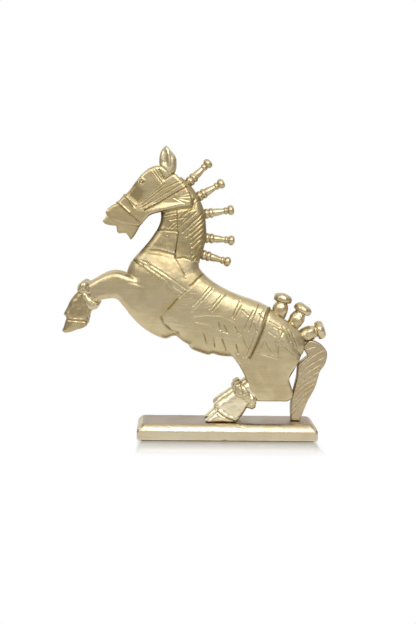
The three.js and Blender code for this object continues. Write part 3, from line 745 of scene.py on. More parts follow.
def shadeFacet(skin, outline):
    # a plane sunk below the eye, darkened with painted shade
    share = smoothStep(distanceInside(sideView(skin), outline) / 6 + 0.35)
    facing = smoothStep(np.abs(outwards(skin)[:, 1]) * 1.5)
    pushOut(skin, -0.9 * share * facing)
    paintedShade(skin, 0.55 * share * facing)


headSkin = makeHead()
cheekStrap = layTrim("cheekStrap", headSkin, tack["cheekStrap"], tack["thickness"])
browband = layTrim("browStrap", headSkin, tack["browband"], tack["thickness"] + 0.2)
noseband = layTrim("noseStrap", headSkin, tack["noseband"], tack["thickness"])
strikeEye(headSkin, tack["eye"], tack["eyeRadius"])
chase(headSkin, fan(tack["fanStart"], tack["fanEnds"]), width=1.2, depth=0.35, lip=0.2, stain=0.5)
chase(headSkin, [tack["earNotch"]], width=1.6, depth=0.6, lip=0, stain=0.9)
chase(cheekStrap, tack["strapLines"], width=1.0, depth=0.35, lip=0.15, stain=0.4)
for line in tack["strapLines"]:
    shadeAlong(cheekStrap, line, width=1.2, amount=0.7)
chase(browband, tack["browLines"], width=1.0, depth=0.35, stain=0.5)
shadeFacet(headSkin, tack["facet"])
# a groove under the strap's lower edge, with painted shade below it
chase(headSkin, [tack["strapEdge"]], width=1.8, depth=0.5, lip=0, stain=0.2)
shadeAlong(headSkin, tack["underStrap"], width=2.6, amount=1.0)
shadeRim(headSkin, tack["jawRim"], reach=2, amount=1.0)
shadeAlong(headSkin, tack["jawRim"], width=2.4, amount=0.85)
for piece in (headSkin, browband, cheekStrap):
    shadeAlong(piece, tack["earHole"], width=3, amount=1.0)
for piece in (browband, cheekStrap):
    chase(piece, [tack["earNotch"]], width=1.6, depth=0.6, lip=0, stain=1.0)
nosebandFlat = sideView(noseband)
for line in tack["noseRidges"]:
    pushOut(noseband, 0.8 * closeness(nosebandFlat, line, reach=1.0))
chase(noseband, tack["noseLines"], width=1.3, depth=0.7, lip=0.1, stain=0.5)
for line in tack["noseLines"]:
    shadeAlong(noseband, line, width=1.5, amount=0.9)


print("ears")

ear = {
    "outline": [
        (-65.1, 275.3), (-69.8, 270), (-71.5, 264.5), (-72, 259.7), (-71.4, 255.2), (-70.3, 251.7),
        (-66, 245.5), (-62, 243), (-58.5, 246), (-55.5, 250.3), (-54.5, 258.6), (-55.2, 263.3),
        (-57.6, 267.1), (-61.2, 270.9)],
    "half": 5.6,
    "edge": 5.0,
    "offset": 8,
    "hollow": [(-66.5, 268), (-67, 259)],
    "crease": [(-63.4, 272), (-62.2, 258)],
    "foot": [(-71, 251), (-66, 245), (-62, 242.6), (-56, 249)],
}


def makeEar():
    board = sawnBoard("ear", ear, middle=-ear["offset"])
    leaf = weld("earNear", [board], voxel=0.3, smoothing=14)
    flat = sideView(leaf)
    outer = smoothStep(-outwards(leaf)[:, 1] * 2)
    hollow = closeness(flat, ear["hollow"], reach=3.2)
    crease = closeness(flat, ear["crease"], reach=1.6)
    pushOut(leaf, outer * (crease - 1.2 * hollow))
    addModifier(leaf, "SMOOTH", factor=0.5, iterations=14)
    keepMask(leaf, np.maximum(maskOf(leaf), closeness(flat, ear["foot"], reach=1.3)))
    return leaf


earNear = makeEar()
earFar = twinOf(earNear, "earFar", mirrored=True)


print("pasterns, hooves and cuffs")

forePastern = {
    "outline": [
        (-138, 139), (-149, 131.5), (-154.4, 126.6), (-158.3, 120.5), (-161.3, 114.3), (-164.7, 107.6),
        (-160.4, 103.5), (-150, 102), (-140.7, 101.6), (-138.5, 109), (-133, 118)],
    "half": 6.6,
    "edge": 4.6,
}
foreHoof = {
    "outline": [
        (-160, 106), (-162.1, 102.2), (-163.9, 97), (-166.2, 90.9), (-163.9, 88.5), (-159.5, 89.2),
        (-152.7, 91.9), (-145.8, 94.1), (-141.5, 96.4), (-140.7, 101.6), (-143, 106)],
    "half": 5.8,
    "edge": 2.4,
}
hindPastern = {
    "outline": [
        (20, 44), (5, 32), (-5, 25.3), (-13.3, 19), (-13.5, 15.5), (-8.5, 12.5), (0, 8), (8, 3),
        (13.5, 5.5), (17.5, 11), (20.5, 16), (32, 28)],
    "half": 6.6,
    "edge": 4.8,
}
hindHoof = {
    "outline": [
        (-8.3, 14), (-13.2, 9.6), (-19, 3.8), (-22.6, 1.2), (-19.5, 0), (-8, 0), (5, 0), (9.4, 0.6),
        (12.5, 4), (8, 12), (-3, 16)],
    "half": 6.4,
    "edge": 2.8,
}
hoofEnds = {
    "fore": {"pastern": forePastern, "hoof": foreHoof, "offset": 10.5,
             "ledge": [(-161, 104.4), (-150, 103), (-141.5, 102.6)], "below": (0.3, -2),
             "whole": [
                 (-130, 139), (-149, 133), (-158.3, 121), (-165, 107.6), (-162.5, 102.2), (-166.5, 90.9),
                 (-163.9, 88.2), (-141.5, 96), (-137, 109), (-125, 118)]},
    "hind": {"pastern": hindPastern, "hoof": hindHoof, "offset": 10.9,
             "ledge": [(-13.4, 16.2), (-8.3, 11.9), (-2, 7.5), (8, 3.2)], "below": (-1.5, -1.6),
             "whole": [
                 (26, 48), (5, 33), (-5, 25.6), (-14, 19), (-14, 9), (-23, 1.2), (-20, -2), (12, -2),
                 (21, 14), (38, 30)]},
}
cuffs = {
    "fore": {
        "outline": [
            (-150.1, 134.5), (-148.2, 138.3), (-144.5, 140.1), (-140.6, 139.1), (-138.7, 135.3),
            (-138.1, 129.1), (-134.9, 122.8), (-129.9, 118.9), (-131.7, 113.8), (-136.8, 111.5),
            (-141.8, 114.3), (-145.4, 120.6), (-148.2, 127), (-150.5, 131.3)],
        "half": 8.4, "edge": 4.4, "offset": 10.5, "seed": 3,
        "folds": [[(-149, 127), (-143, 130), (-139, 128)]]},
    "hind": {
        "outline": [
            (5.7, 30), (6.8, 38.5), (11.3, 40.6), (17.2, 36.7), (23.1, 31.5), (29.1, 23.1), (27.9, 15.9),
            (24.7, 13.9), (18.9, 15.2), (16.3, 21), (11.7, 24.8)],
        "half": 8.6, "edge": 4.4, "offset": 10.9, "seed": 7,
        "folds": [[(13, 38), (16, 31), (13, 24)], [(22, 30), (22, 24), (18, 18)]]},
}


def makeHoof(name, values):
    parts = []
    for key in ("pastern", "hoof"):
        parts.append(sawnBoard(key, values[key], middle=-values["offset"], cornerAngle=30))
    skin = weld(name, parts, voxel=0.4, smoothing=3)
    dome(skin, values["whole"], reach=9, drop=0.3, middle=-values["offset"])
    pushOut(skin, 0.7 * closeness(sideView(skin), values["ledge"], reach=1.2))
    chase(skin, [shifted(values["ledge"], *values["below"])], width=1.6, depth=0.6, lip=0, stain=0.9)
    crumple(skin, size=8, depth=0.5, seed=len(name))
    return skin


def makeCuff(name, values):
    band = sawnBoard(name, values, middle=-values["offset"])
    wrap = weld(name, [band], voxel=0.4, smoothing=2)
    crumple(wrap, size=8, depth=1.7, seed=values["seed"])
    flat = sideView(wrap)
    for line in values["folds"]:
        pushOut(wrap, -0.8 * closeness(flat, line, reach=1.1))
    addModifier(wrap, "SMOOTH", factor=0.5, iterations=10)
    crumple(wrap, size=3, depth=0.25, seed=values["seed"] + 20)
    addModifier(wrap, "SMOOTH", factor=0.5, iterations=3)
    return wrap


hoofSkins = {}
cuffSkins = {}
for end in ("fore", "hind"):
    hoofSkins[f"{end}_near"] = makeHoof(f"{end}HoofNear", hoofEnds[end])
    hoofSkins[f"{end}_far"] = twinOf(hoofSkins[f"{end}_near"], f"{end}HoofFar", mirrored=True)
    cuffSkins[f"{end}_near"] = makeCuff(f"{end}CuffNear", cuffs[end])
    cuffSkins[f"{end}_far"] = twinOf(cuffSkins[f"{end}_near"], f"{end}CuffFar", mirrored=True)


print("pegs and finials")

peg = {
    "profile": [
        (4.0, -3), (4.4, 0), (5.2, 1.0), (5.3, 3), (4.3, 4.1), (4.2, 4.5), (5.2, 5.6), (5.2, 7.6),
        (4.3, 8.6), (3.7, 9.2), (4.1, 10.5), (3.6, 14), (2.8, 19), (2.8, 19.6), (3.8, 20.3), (3.9, 21.8),
        (3.0, 22.9), (3.1, 23.2), (4.5, 24.2), (5.2, 26), (5.0, 27.8), (4.1, 29.1), (2.4, 29.8),
        (0.6, 30)],
    "roots": [(-42.1, 256.2), (-32.9, 242), (-26.1, 225.2), (-25.2, 201.5), (-27.9, 184.8)],
    "tilts": [45.6, 30.7, 9.4, -4.6, -15],
}
finial = {
    "profile": [
        (4.5, -6), (6, -3), (7.3, 1), (8, 5), (7.8, 9), (6.5, 12), (5.6, 13.4), (6.4, 14), (8.6, 14.2),
        (9.5, 16), (9.5, 18.6), (8.4, 21), (5.8, 22.2), (2.8, 22.7), (0.8, 22.8)],
    "roots": [(51, 124.3), (66.5, 115.5), (76.2, 104.5)],
    "tilts": [78, 61, 18],
}


def turned(name, profile, sides=32):
    # a ring of the first radius, extruded and resized ring by ring up to the tip
    bpy.ops.mesh.primitive_circle_add(vertices=sides, radius=profile[0][0] / 1000, fill_type="NGON",
                                      location=(0, 0, profile[0][1] / 1000))
    piece = bpy.context.object
    piece.name = name
    applyPlace()
    bpy.ops.object.mode_set(mode="EDIT")
    bpy.ops.mesh.select_all(action="SELECT")
    for (radius, height), (nextRadius, nextHeight) in zip(profile[:-1], profile[1:]):
        stepUp(nextHeight - height, nextRadius / radius, nextRadius / radius)
    bpy.ops.mesh.select_all(action="SELECT")
    bpy.ops.mesh.normals_make_consistent(inside=False)
    bpy.ops.object.mode_set(mode="OBJECT")
    addModifier(piece, "SUBSURF", levels=2, render_levels=2)
    return piece


def standAt(piece, root, tilt):
    piece.rotation_euler = (0, math.radians(90 - tilt), 0)
    piece.location = (root[0] / 1000, 0, root[1] / 1000)
    onlySelect(piece)
    applyPlace()


def makeRow(label, values, size, depth):
    first = turned(label, values["profile"])
    row = []
    for i, (root, tilt) in enumerate(zip(values["roots"], values["tilts"])):
        piece = twinOf(first, f"{label}{i + 1}")
        crumple(piece, size=size, depth=depth, seed=i + 1)
        standAt(piece, root, tilt)
        row.append(piece)
    bpy.data.objects.remove(first)
    return row


manePegs = makeRow("manePeg", peg, size=4, depth=0.1)
rumpFinials = makeRow("rumpFinial", finial, size=7, depth=0.8)


print("tail")

tail = {
    "outline": [
        (75.5, 76), (77.8, 78.2), (81.7, 82.4), (84.8, 82.8), (91.8, 80.4), (97.8, 75.6), (100.4, 70.6),
        (100.4, 64.6), (98.2, 57.7), (93.6, 50.7), (91.8, 43.6), (89.2, 34.6), (86.4, 28.6), (82.6, 21.6),
        (79.8, 14.5), (76.2, 4.4), (74.8, 0.2), (65.8, 0.2), (65.1, 10.4), (65.8, 22.5), (68.4, 34.4),
        (70.5, 45.5), (71.2, 58.3), (81.3, 66.5)],
    "half": 6.2,
    "edge": 1.4,
    "flutes": [
        [(70.5, 53.5), (86, 67.5), (97, 74)], [(70.9, 47), (82, 57.5), (97, 66.5)],
        [(70, 41.5), (82, 51.5), (94, 59)], [(69, 35), (80, 44.5), (92, 51.5)],
        [(68, 29), (79, 38.5), (90, 45)], [(67, 23), (78, 33), (88, 39.5)],
        [(66.5, 17), (76, 27), (86, 33.5)], [(66, 10.5), (75, 21), (84, 27.5)],
        [(66, 5), (73, 13.5), (81, 20)]],
    "scratches": [[(73, 64), (80, 70)], [(79, 74), (88, 77)]],
    "cuts": {"flutes": (1.2, 0.3, 0.15, 0.5), "scratches": (1.0, 0.25, 0.2, 0.3)},
    "leftRim": [(65.8, 0.2), (65.1, 10.4), (65.8, 22.5), (68.4, 34.4), (70.5, 45.5), (71.2, 58.3)],
}


def makeTail():
    board = sawnBoard("tailBoard", tail)
    skin = weld("tailSkin", [board], voxel=0.4, smoothing=2)
    crumple(skin, size=14, depth=0.25, seed=2)
    chaseAll(skin, tail)
    shadeRim(skin, tail["leftRim"], reach=1.5, amount=0.8)
    return skin


tailSkin = makeTail()


print("plinth")

plinth = {
    "length": 182,
    "width": 52,
    "wallHeight": 9,
    "lift": 0.5,
    "cornerRadius": 3,
    "crown": [(0.5, 10.6), (1.5, 12.6), (3.3, 14.7), (5, 15.8), (7, 16.4), (8.5, 16.5)],
    "sheet": 0.8,
    "voxel": 0.8,
    "dent": {"place": (-3, -26, 1), "reach": (2.2, 6, 1.6)},
    "mitres": [[(-91, -9), (-84, -1)], [(91, -9), (84, -1)]],
    "scratches": [
        [(57, -2), (58, -7)], [(61, -1.5), (63, -6)], [(66, -2), (66.5, -7)], [(-60, -3), (-52, -6)],
        [(10, -2.5), (16, -3.5)], [(-88, -12), (-70, -13)], [(30, -11), (52, -12)]],
    "cuts": {"scratches": (1.2, 0.15, 0.5, 0.15), "mitres": (1.4, 0.3, 0.4, 0.2)},
}


def plinthBlank():
    # a bar with rounded corners, stepped up to its crown
    low = plinth["lift"]
    wall = plinth["wallHeight"]
    length = plinth["length"]
    width = plinth["width"]
    bpy.ops.mesh.primitive_cube_add(size=0.001)
    shell = bpy.context.object
    shell.name = "plinthShell"
    shell.scale = (length, width, wall - low)
    shell.location = (0, 0, (wall + low) / 2000)
    applyPlace()
    ends = [[shell.data.vertices[i].co.z for i in edge.vertices] for edge in shell.data.edges]
    choose(shell, "EDGE", [abs(first - second) > 0.001 for first, second in ends])
    bpy.ops.mesh.bevel(offset=plinth["cornerRadius"] / 1000, segments=6, affect="EDGES")
    bpy.ops.object.mode_set(mode="OBJECT")
    choose(shell, "FACE", [face.normal.z > 0.9 for face in shell.data.polygons])
    inset, height = 0, wall
    for nextInset, nextHeight in plinth["crown"]:
        wide = (length - 2 * nextInset) / (length - 2 * inset)
        deep = (width - 2 * nextInset) / (width - 2 * inset)
        stepUp(nextHeight - height, wide, deep)
        inset, height = nextInset, nextHeight
    bpy.ops.object.mode_set(mode="OBJECT")
    return weld("plinthShell", [shell], plinth["voxel"], smoothing=2)


def makePlinth():
    shell = plinthBlank()
    away = (coordinates(shell) * 1000 - plinth["dent"]["place"]) / plinth["dent"]["reach"]
    pushOut(shell, -np.exp(-np.sum(away ** 2, axis=1)))
    crumple(shell, size=34, depth=0.15, seed=5)
    crumple(shell, size=9, depth=0.12, seed=12)
    chaseAll(shell, plinth)
    for line in plinth["mitres"]:
        shadeAlong(shell, line, width=1.4, amount=0.5)
    keepInside(shell)
    openBelow(shell)
    return shell


def keepInside(shell):
    # the waviness may not pass the plinth's outer size
    points = coordinates(shell)
    for axis, size in enumerate((plinth["length"], plinth["width"])):
        points[:, axis] = np.clip(points[:, axis], -size / 2000, size / 2000)
    moveTo(shell, points)


def openBelow(shell):
    # a shell: the underside is taken off and the rest gets the thickness of the sheet
    floorLine = coordinates(shell)[:, 2].min() + 0.0006
    faces = shell.data.polygons
    choose(shell, "FACE", [face.center.z < floorLine and face.normal.z < -0.5 for face in faces])
    bpy.ops.mesh.delete(type="FACE")
    bpy.ops.object.mode_set(mode="OBJECT")
    addModifier(shell, "SOLIDIFY", thickness=plinth["sheet"] / 1000, offset=-1)


plinthShell = makePlinth()


print("pins")

pins = {
    "radius": 0.9,
    "rise": 0.6,
    "outside": 60,
    "places": [
        (-63, 186.4, 14.6), (-80.8, 158.2, 15.8), (-45.3, 145.4, 18), (14.5, 65.7, 18), (17.9, 66, 18)],
}


def makePins():
    heads = []
    for x, z, depth in pins["places"]:
        for side in (-1, 1):
            place = (x / 1000, side * depth / 1000, (z + soleHeight) / 1000)
            bpy.ops.mesh.primitive_uv_sphere_add(segments=16, ring_count=8, radius=pins["radius"] / 1000,
                                                 location=place)
            pin = bpy.context.object
            pin.scale = (1, pins["rise"] / pins["radius"], 1)
            heads.append(pin)
    onlySelect(*heads)
    applyPlace()
    return joinPieces("brassPins", heads)


def sinkPins(piece, skins):
    # each head is moved out or in until it sits half sunk on the sheet below it
    points = coordinates(piece)
    perPin = len(points) // (2 * len(pins["places"]))
    for start in range(0, len(points), perPin):
        middle = Vector(points[start:start + perPin].mean(axis=0))
        side = 1 if middle.y > 0 else -1
        outside = Vector((middle.x, side * pins["outside"] / 1000, middle.z))
        hits = [skin.ray_cast(outside, Vector((0, -side, 0))) for skin in skins]
        reach = max([abs(place.y) for hit, place, *rest in hits if hit], default=0)
        points[start:start + perPin, 1] += side * reach - middle.y
    moveTo(piece, points)


brassPins = makePins()
sinkPins(brassPins, [neckSkin, barrelSkin, haunchSkin, neckCollar, breastBand, saddleCloth])


print("materials")


def newGroup(name, inputs, outputs):
    group = bpy.data.node_groups.new(name, "ShaderNodeTree")
    for label, kind, value in inputs:
        socket = group.interface.new_socket(name=label, in_out="INPUT", socket_type=kind)
        socket.default_value = value
    for label, kind in outputs:
        group.interface.new_socket(name=label, in_out="OUTPUT", socket_type=kind)
    start = group.nodes.new("NodeGroupInput")
    start.location = (-900, 0)
    end = group.nodes.new("NodeGroupOutput")
    end.location = (900, 0)
    return group, start, end


def feed(tree, socket, value):
    if isinstance(value, bpy.types.NodeSocket):
        tree.links.new(value, socket)
    else:
        socket.default_value = value


def addNode(tree, kind, x, y, inputs=None, **values):
    node = tree.nodes.new(kind)
    node.location = (x, y)
    for key, value in values.items():
        setattr(node, key, value)
    for label, value in (inputs or {}).items():
        feed(tree, node.inputs[label], value)
    return node


def addRange(tree, x, y, source, low, high, toLow=0.0, toHigh=1.0):
    return addNode(tree, "ShaderNodeMapRange", x, y, {
        "Value": source, "From Min": low, "From Max": high, "To Min": toLow, "To Max": toHigh,
    }).outputs["Result"]


def addNoise(tree, x, y, where, scale, detail, distortion=0.0, roughness=0.5):
    return addNode(tree, "ShaderNodeTexNoise", x, y, {
        "Vector": where, "Scale": scale, "Detail": detail, "Roughness": roughness, "Distortion": distortion,
    }).outputs["Fac"]


def addMath(tree, x, y, operation, *operands):
    node = addNode(tree, "ShaderNodeMath", x, y, operation=operation)
    for socket, value in zip(node.inputs, operands):
        feed(tree, socket, value)
    return node.outputs["Value"]


def addMix(tree, x, y, factor, first, second):
    return addNode(tree, "ShaderNodeMix", x, y, {"Factor": factor, "A": first, "B": second},
                   data_type="RGBA").outputs["Result"]


def blend(tree, x, y, factor, first, second):
    return addNode(tree, "ShaderNodeMix", x, y, {"Factor": factor, "A": first, "B": second},
                   data_type="FLOAT").outputs["Result"]


wear = {
    "inputs": [
        ("Metal", "NodeSocketColor", (0.62, 0.51, 0.305, 1)),
        ("Deep Tone", "NodeSocketColor", (0.43, 0.325, 0.15, 1)),
        ("Polish And Sheen", "NodeSocketColor", (0.82, 0.76, 0.58, 1)),
        ("Groove", "NodeSocketColor", (0.24, 0.17, 0.06, 1)),
        ("Residue And Shade", "NodeSocketColor", (0.21, 0.155, 0.02, 1)), ("Top Shade", "NodeSocketFloat", 0.0),
        ("Line Mask", "NodeSocketFloat", 0.0), ("Painted Shade", "NodeSocketFloat", 0.0),
        ("Streak Share", "NodeSocketFloat", 0.3), ("Patch Scale", "NodeSocketFloat", 38.0),
        ("Patch Share", "NodeSocketFloat", 0.6), ("Crease Scale", "NodeSocketFloat", 150.0),
        ("Crease Depth", "NodeSocketFloat", 0.2), ("Roughness", "NodeSocketFloat", 0.34)],
    "outputs": [
        ("Colour", "NodeSocketColor"), ("Roughness", "NodeSocketFloat"), ("Normal", "NodeSocketVector")],
    "patchRange": (0.4, 0.66),
    "hollowRange": (0.475, 0.41),
    "ridgeRange": (0.53, 0.64),
    "streakTurn": -28,
    "streakScale": (30, 90, 420),
    "streakRange": (0.45, 0.72),
    "topShadeRange": (0.9, 1),
    "topShadeColour": (0.36, 0.285, 0.2, 1),
    "breakScale": 160,
    "breakRange": (0.38, 0.6, 0.2, 1),
    "dulling": 0.18,
    "dentScale": 110,
    "dentShare": 0.6,
}


def streakMask(group, where):
    # fine lines brushed across the sheet
    turn = (0, math.radians(wear["streakTurn"]), 0)
    turned = addNode(group, "ShaderNodeMapping", -800, 1000, {
        "Vector": where, "Rotation": turn, "Scale": wear["streakScale"]})
    brushed = addNoise(group, -600, 1000, turned.outputs["Vector"], 1, 5)
    return addRange(group, -400, 1000, brushed, *wear["streakRange"])


def topShadeMask(group):
    # painted shade: 1 on faces that look up, which are turned darker
    normal = addNode(group, "ShaderNodeNewGeometry", -800, 800).outputs["Normal"]
    upright = addNode(group, "ShaderNodeSeparateXYZ", -600, 800, {"Vector": normal})
    return addRange(group, -400, 800, upright.outputs["Z"], *wear["topShadeRange"])


def sheetBump(group, where, creaseScale, creaseDepth):
    dents = addNode(group, "ShaderNodeTexVoronoi", -600, -600, {
        "Vector": where, "Scale": wear["dentScale"]}, feature="SMOOTH_F1").outputs["Distance"]
    creases = addNoise(group, -600, -350, where, creaseScale, 1)
    height = addMath(group, -300, -450, "MULTIPLY_ADD", dents, wear["dentShare"], creases)
    return addNode(group, "ShaderNodeBump", 300, -350, {
        "Height": height, "Strength": creaseDepth, "Distance": 0.001}).outputs["Normal"]


def makeWornSheet():
    group, start, end = newGroup("wornSheet", wear["inputs"], wear["outputs"])
    worn = start.outputs
    where = addNode(group, "ShaderNodeTexCoord", -900, -300).outputs["Object"]
    sharpness = addNode(group, "ShaderNodeNewGeometry", -900, 500).outputs["Pointiness"]
    hollows = addRange(group, -400, 400, sharpness, *wear["hollowRange"])
    ridges = addRange(group, -400, 550, sharpness, *wear["ridgeRange"])
    stains = addNoise(group, -600, 200, where, worn["Patch Scale"], 6, 0.6, 0.6)
    stained = addRange(group, -400, 200, stains, *wear["patchRange"])
    patches = addMath(group, -200, 200, "MULTIPLY", stained, worn["Patch Share"])
    streaks = addMath(group, -200, 1000, "MULTIPLY", streakMask(group, where), worn["Streak Share"])
    topShade = addMath(group, -200, 800, "MULTIPLY", topShadeMask(group), worn["Top Shade"])
    topShadeTone = addNode(group, "ShaderNodeRGB", 0, 600).outputs["Color"]
    topShadeTone.default_value = wear["topShadeColour"]
    broken = addNoise(group, -600, -60, where, wear["breakScale"], 3)
    gaps = addRange(group, -400, -60, broken, *wear["breakRange"])
    residueAndShadeMask = addMath(group, -200, 0, "MULTIPLY", worn["Line Mask"], gaps)
    colour = worn["Metal"]
    # colour layers: deep tone in random patches and brushed streaks, painted shade, patina in the hollows,
    # ridges made paler partly as rubbed polish and partly as a painted highlight, painted shade on faces
    # that look up, and the olive residue of the strokes
    layers = [
        (patches, worn["Deep Tone"]), (streaks, worn["Deep Tone"]), (worn["Painted Shade"], worn["Groove"]),
        (hollows, worn["Groove"]), (ridges, worn["Polish And Sheen"]), (topShade, topShadeTone), (residueAndShadeMask, worn["Residue And Shade"])]
    for i, (mask, tone) in enumerate(layers):
        colour = addMix(group, 50 + 100 * i, 250, mask, colour, tone)
    feed(group, end.inputs["Colour"], colour)
    dulled = addMath(group, 100, -50, "MAXIMUM", addMath(group, 0, 0, "MAXIMUM", patches, hollows), residueAndShadeMask)
    rough = addMath(group, 300, -50, "MULTIPLY_ADD", dulled, wear["dulling"], worn["Roughness"])
    feed(group, end.inputs["Roughness"], rough)
    feed(group, end.inputs["Normal"], sheetBump(group, where, worn["Crease Scale"], worn["Crease Depth"]))
    return group


wornSheet = makeWornSheet()
sheetTones = {
    "bodySheet": {"Metal": (0.65, 0.54, 0.33, 1)},
    # painted shade: the neck's sheet and its collar are a darker copy of the body sheet
    "neckSheetShaded": {"Metal": (0.44, 0.355, 0.2, 1), "Deep Tone": (0.35, 0.26, 0.115, 1),
                  "Crease Depth": 0.12},
    "trimSheet": {"Metal": (0.66, 0.56, 0.35, 1), "Patch Share": 0.45},
    "headSheet": {"Metal": (0.66, 0.545, 0.325, 1), "Deep Tone": (0.44, 0.335, 0.16, 1),
                  "Crease Depth": 0.13},
    "foilWrap": {"Metal": (0.68, 0.58, 0.37, 1), "Deep Tone": (0.37, 0.27, 0.11, 1), "Roughness": 0.3,
                 "Crease Depth": 0.3, "Crease Scale": 230.0},
    # lit and shaded copies of the hoof foil: painted light on the hind hooves, painted shade on the fore
    # hooves
    "hoofFoilLit": {"Metal": (0.88, 0.79, 0.56, 1), "Deep Tone": (0.5, 0.39, 0.19, 1), "Roughness": 0.28,
                   "Crease Depth": 0.3, "Crease Scale": 230.0},
    "hoofFoilShaded": {"Metal": (0.52, 0.42, 0.245, 1), "Deep Tone": (0.34, 0.25, 0.11, 1), "Roughness": 0.3,
                 "Crease Depth": 0.3, "Crease Scale": 230.0},
    "earSheet": {"Metal": (0.7, 0.6, 0.38, 1), "Deep Tone": (0.42, 0.32, 0.15, 1), "Crease Depth": 0.03,
                 "Patch Share": 0.15, "Streak Share": 0.12, "Roughness": 0.3},
    "pegFoil": {"Metal": (0.63, 0.53, 0.33, 1), "Deep Tone": (0.37, 0.27, 0.12, 1), "Crease Depth": 0.12,
                "Patch Share": 0.35, "Roughness": 0.36},
    # painted shade: the tail's sheet is a darker copy of the body sheet
    "tailSheetShaded": {"Metal": (0.56, 0.46, 0.3, 1), "Deep Tone": (0.37, 0.28, 0.14, 1), "Roughness": 0.4},
    # the plinth's sheet gets painted shade on its faces that look up
    "plinthSheet": {"Metal": (0.68, 0.59, 0.41, 1), "Deep Tone": (0.54, 0.44, 0.28, 1), "Patch Scale": 20.0,
                    "Crease Depth": 0.2, "Top Shade": 1.0},
    "brassPin": {"Metal": (0.62, 0.47, 0.1, 1), "Deep Tone": (0.42, 0.3, 0.05, 1), "Roughness": 0.25},
    "screwSteel": {"Metal": (0.5, 0.5, 0.5, 1), "Deep Tone": (0.3, 0.28, 0.26, 1)},
}


def newMaterial(name):
    material = bpy.data.materials.new(name)
    material.use_nodes = True
    return material, material.node_tree, material.node_tree.nodes["Principled BSDF"]


def sheetMaterial(name, values):
    material, tree, shader = newMaterial(name)
    shader.inputs["Metallic"].default_value = 1.0
    worn = addNode(tree, "ShaderNodeGroup", -300, 200, values, node_tree=wornSheet)
    for label, layer in (("Line Mask", "residueAndShade"), ("Painted Shade", "paintedShade")):
        painted = addNode(tree, "ShaderNodeAttribute", -600, 0, attribute_name=layer)
        feed(tree, worn.inputs[label], painted.outputs["Fac"])
    for label, output in (("Base Color", "Colour"), ("Roughness", "Roughness"), ("Normal", "Normal")):
        feed(tree, shader.inputs[label], worn.outputs[output])
    return material


wood = {
    "light": (0.36, 0.22, 0.11, 1),
    "dark": (0.16, 0.085, 0.04, 1),
    "grainStretch": (12, 90, 90),
    "bumpStrength": 0.3,
    "roughness": 0.7,
}


def woodMaterial(name):
    material, tree, shader = newMaterial(name)
    where = addNode(tree, "ShaderNodeTexCoord", -900, 0).outputs["Object"]
    stretch = addNode(tree, "ShaderNodeMapping", -700, 0, {"Vector": where, "Scale": wood["grainStretch"]})
    grain = addNoise(tree, -500, 0, stretch.outputs["Vector"], 3, 6)
    ramp = addNode(tree, "ShaderNodeValToRGB", -300, 0, {"Fac": grain})
    for stop, tone, position in zip(ramp.color_ramp.elements, ("dark", "light"), (0.35, 0.7)):
        stop.color = wood[tone]
        stop.position = position
    bump = addNode(tree, "ShaderNodeBump", -200, -250, {
        "Height": grain, "Strength": wood["bumpStrength"], "Distance": 0.0005})
    feed(tree, shader.inputs["Base Color"], ramp.outputs["Color"])
    feed(tree, shader.inputs["Normal"], bump.outputs["Normal"])
    shader.inputs["Roughness"].default_value = wood["roughness"]
    return material


materials = {name: sheetMaterial(name, values) for name, values in sheetTones.items()}
materials["plinthWood"] = woodMaterial("plinthWood")


print("dressing")


def dress(piece, material, slotName, *nodes):
    piece.data.materials.clear()
    piece.data.materials.append(materials[material])
    onlySelect(piece)
    bpy.ops.object.shade_smooth_by_angle(angle=math.radians(50))
    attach(piece, "root")
    if nodes:
        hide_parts(*nodes)


def nearAndFar(*names):
    return [f"{name}_{side}" for name in names for side in ("near", "far")]


dress(neckSkin, "neckSheetShaded", "sheet", *nearAndFar("throat_sheet", "mane_sheet"))
dress(barrelSkin, "bodySheet", "sheet", "horse_core", *nearAndFar("flank_sheet", "foreleg_sheet"))
dress(haunchSkin, "bodySheet", "sheet", *nearAndFar("haunch_sheet"))
dress(headSkin, "headSheet", "sheet", *nearAndFar("head_sheet"))
dress(neckCollar, "neckSheetShaded", "sheet", "neck_plate")
dress(saddleCloth, "trimSheet", "trim_sheet", "saddle_cloth")
dress(breastBand, "trimSheet", "trim_sheet", "breast_collar")
dress(rumpCover, "trimSheet", "trim_sheet", *nearAndFar("rump_cloth"))
dress(cheekStrap, "headSheet", "trim_sheet", *nearAndFar("cheek_strap"))
dress(browband, "headSheet", "trim_sheet", "browband")
dress(noseband, "headSheet", "trim_sheet", "noseband")
dress(earNear, "earSheet", "sheet", "ear_near")
dress(earFar, "earSheet", "sheet", "ear_far")
for key, piece in hoofSkins.items():
    dress(piece, "hoofFoilLit" if key.startswith("hind") else "hoofFoilShaded", "sheet",
          key.replace("_", "_hoof_sheath_"))
for key, piece in cuffSkins.items():
    dress(piece, "foilWrap", "foil", key.replace("_", "_cuff_"))
for i, piece in enumerate(manePegs):
    dress(piece, "pegFoil", "foil", f"mane_peg_{i + 1}")
for i, piece in enumerate(rumpFinials):
    dress(piece, "foilWrap", "foil", f"rump_finial_{i + 1}")
dress(tailSkin, "tailSheetShaded", "sheet", "tail_sheet", "tail_core")
dress(plinthShell, "plinthSheet", "sheet", "plinth_sheet")
dress(brassPins, "brassPin", "foil")

for name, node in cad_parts.items():
    node.data.materials.clear()
    node.data.materials.append(materials["screwSteel" if "screw" in name else "plinthWood"])


print("floor and lights")

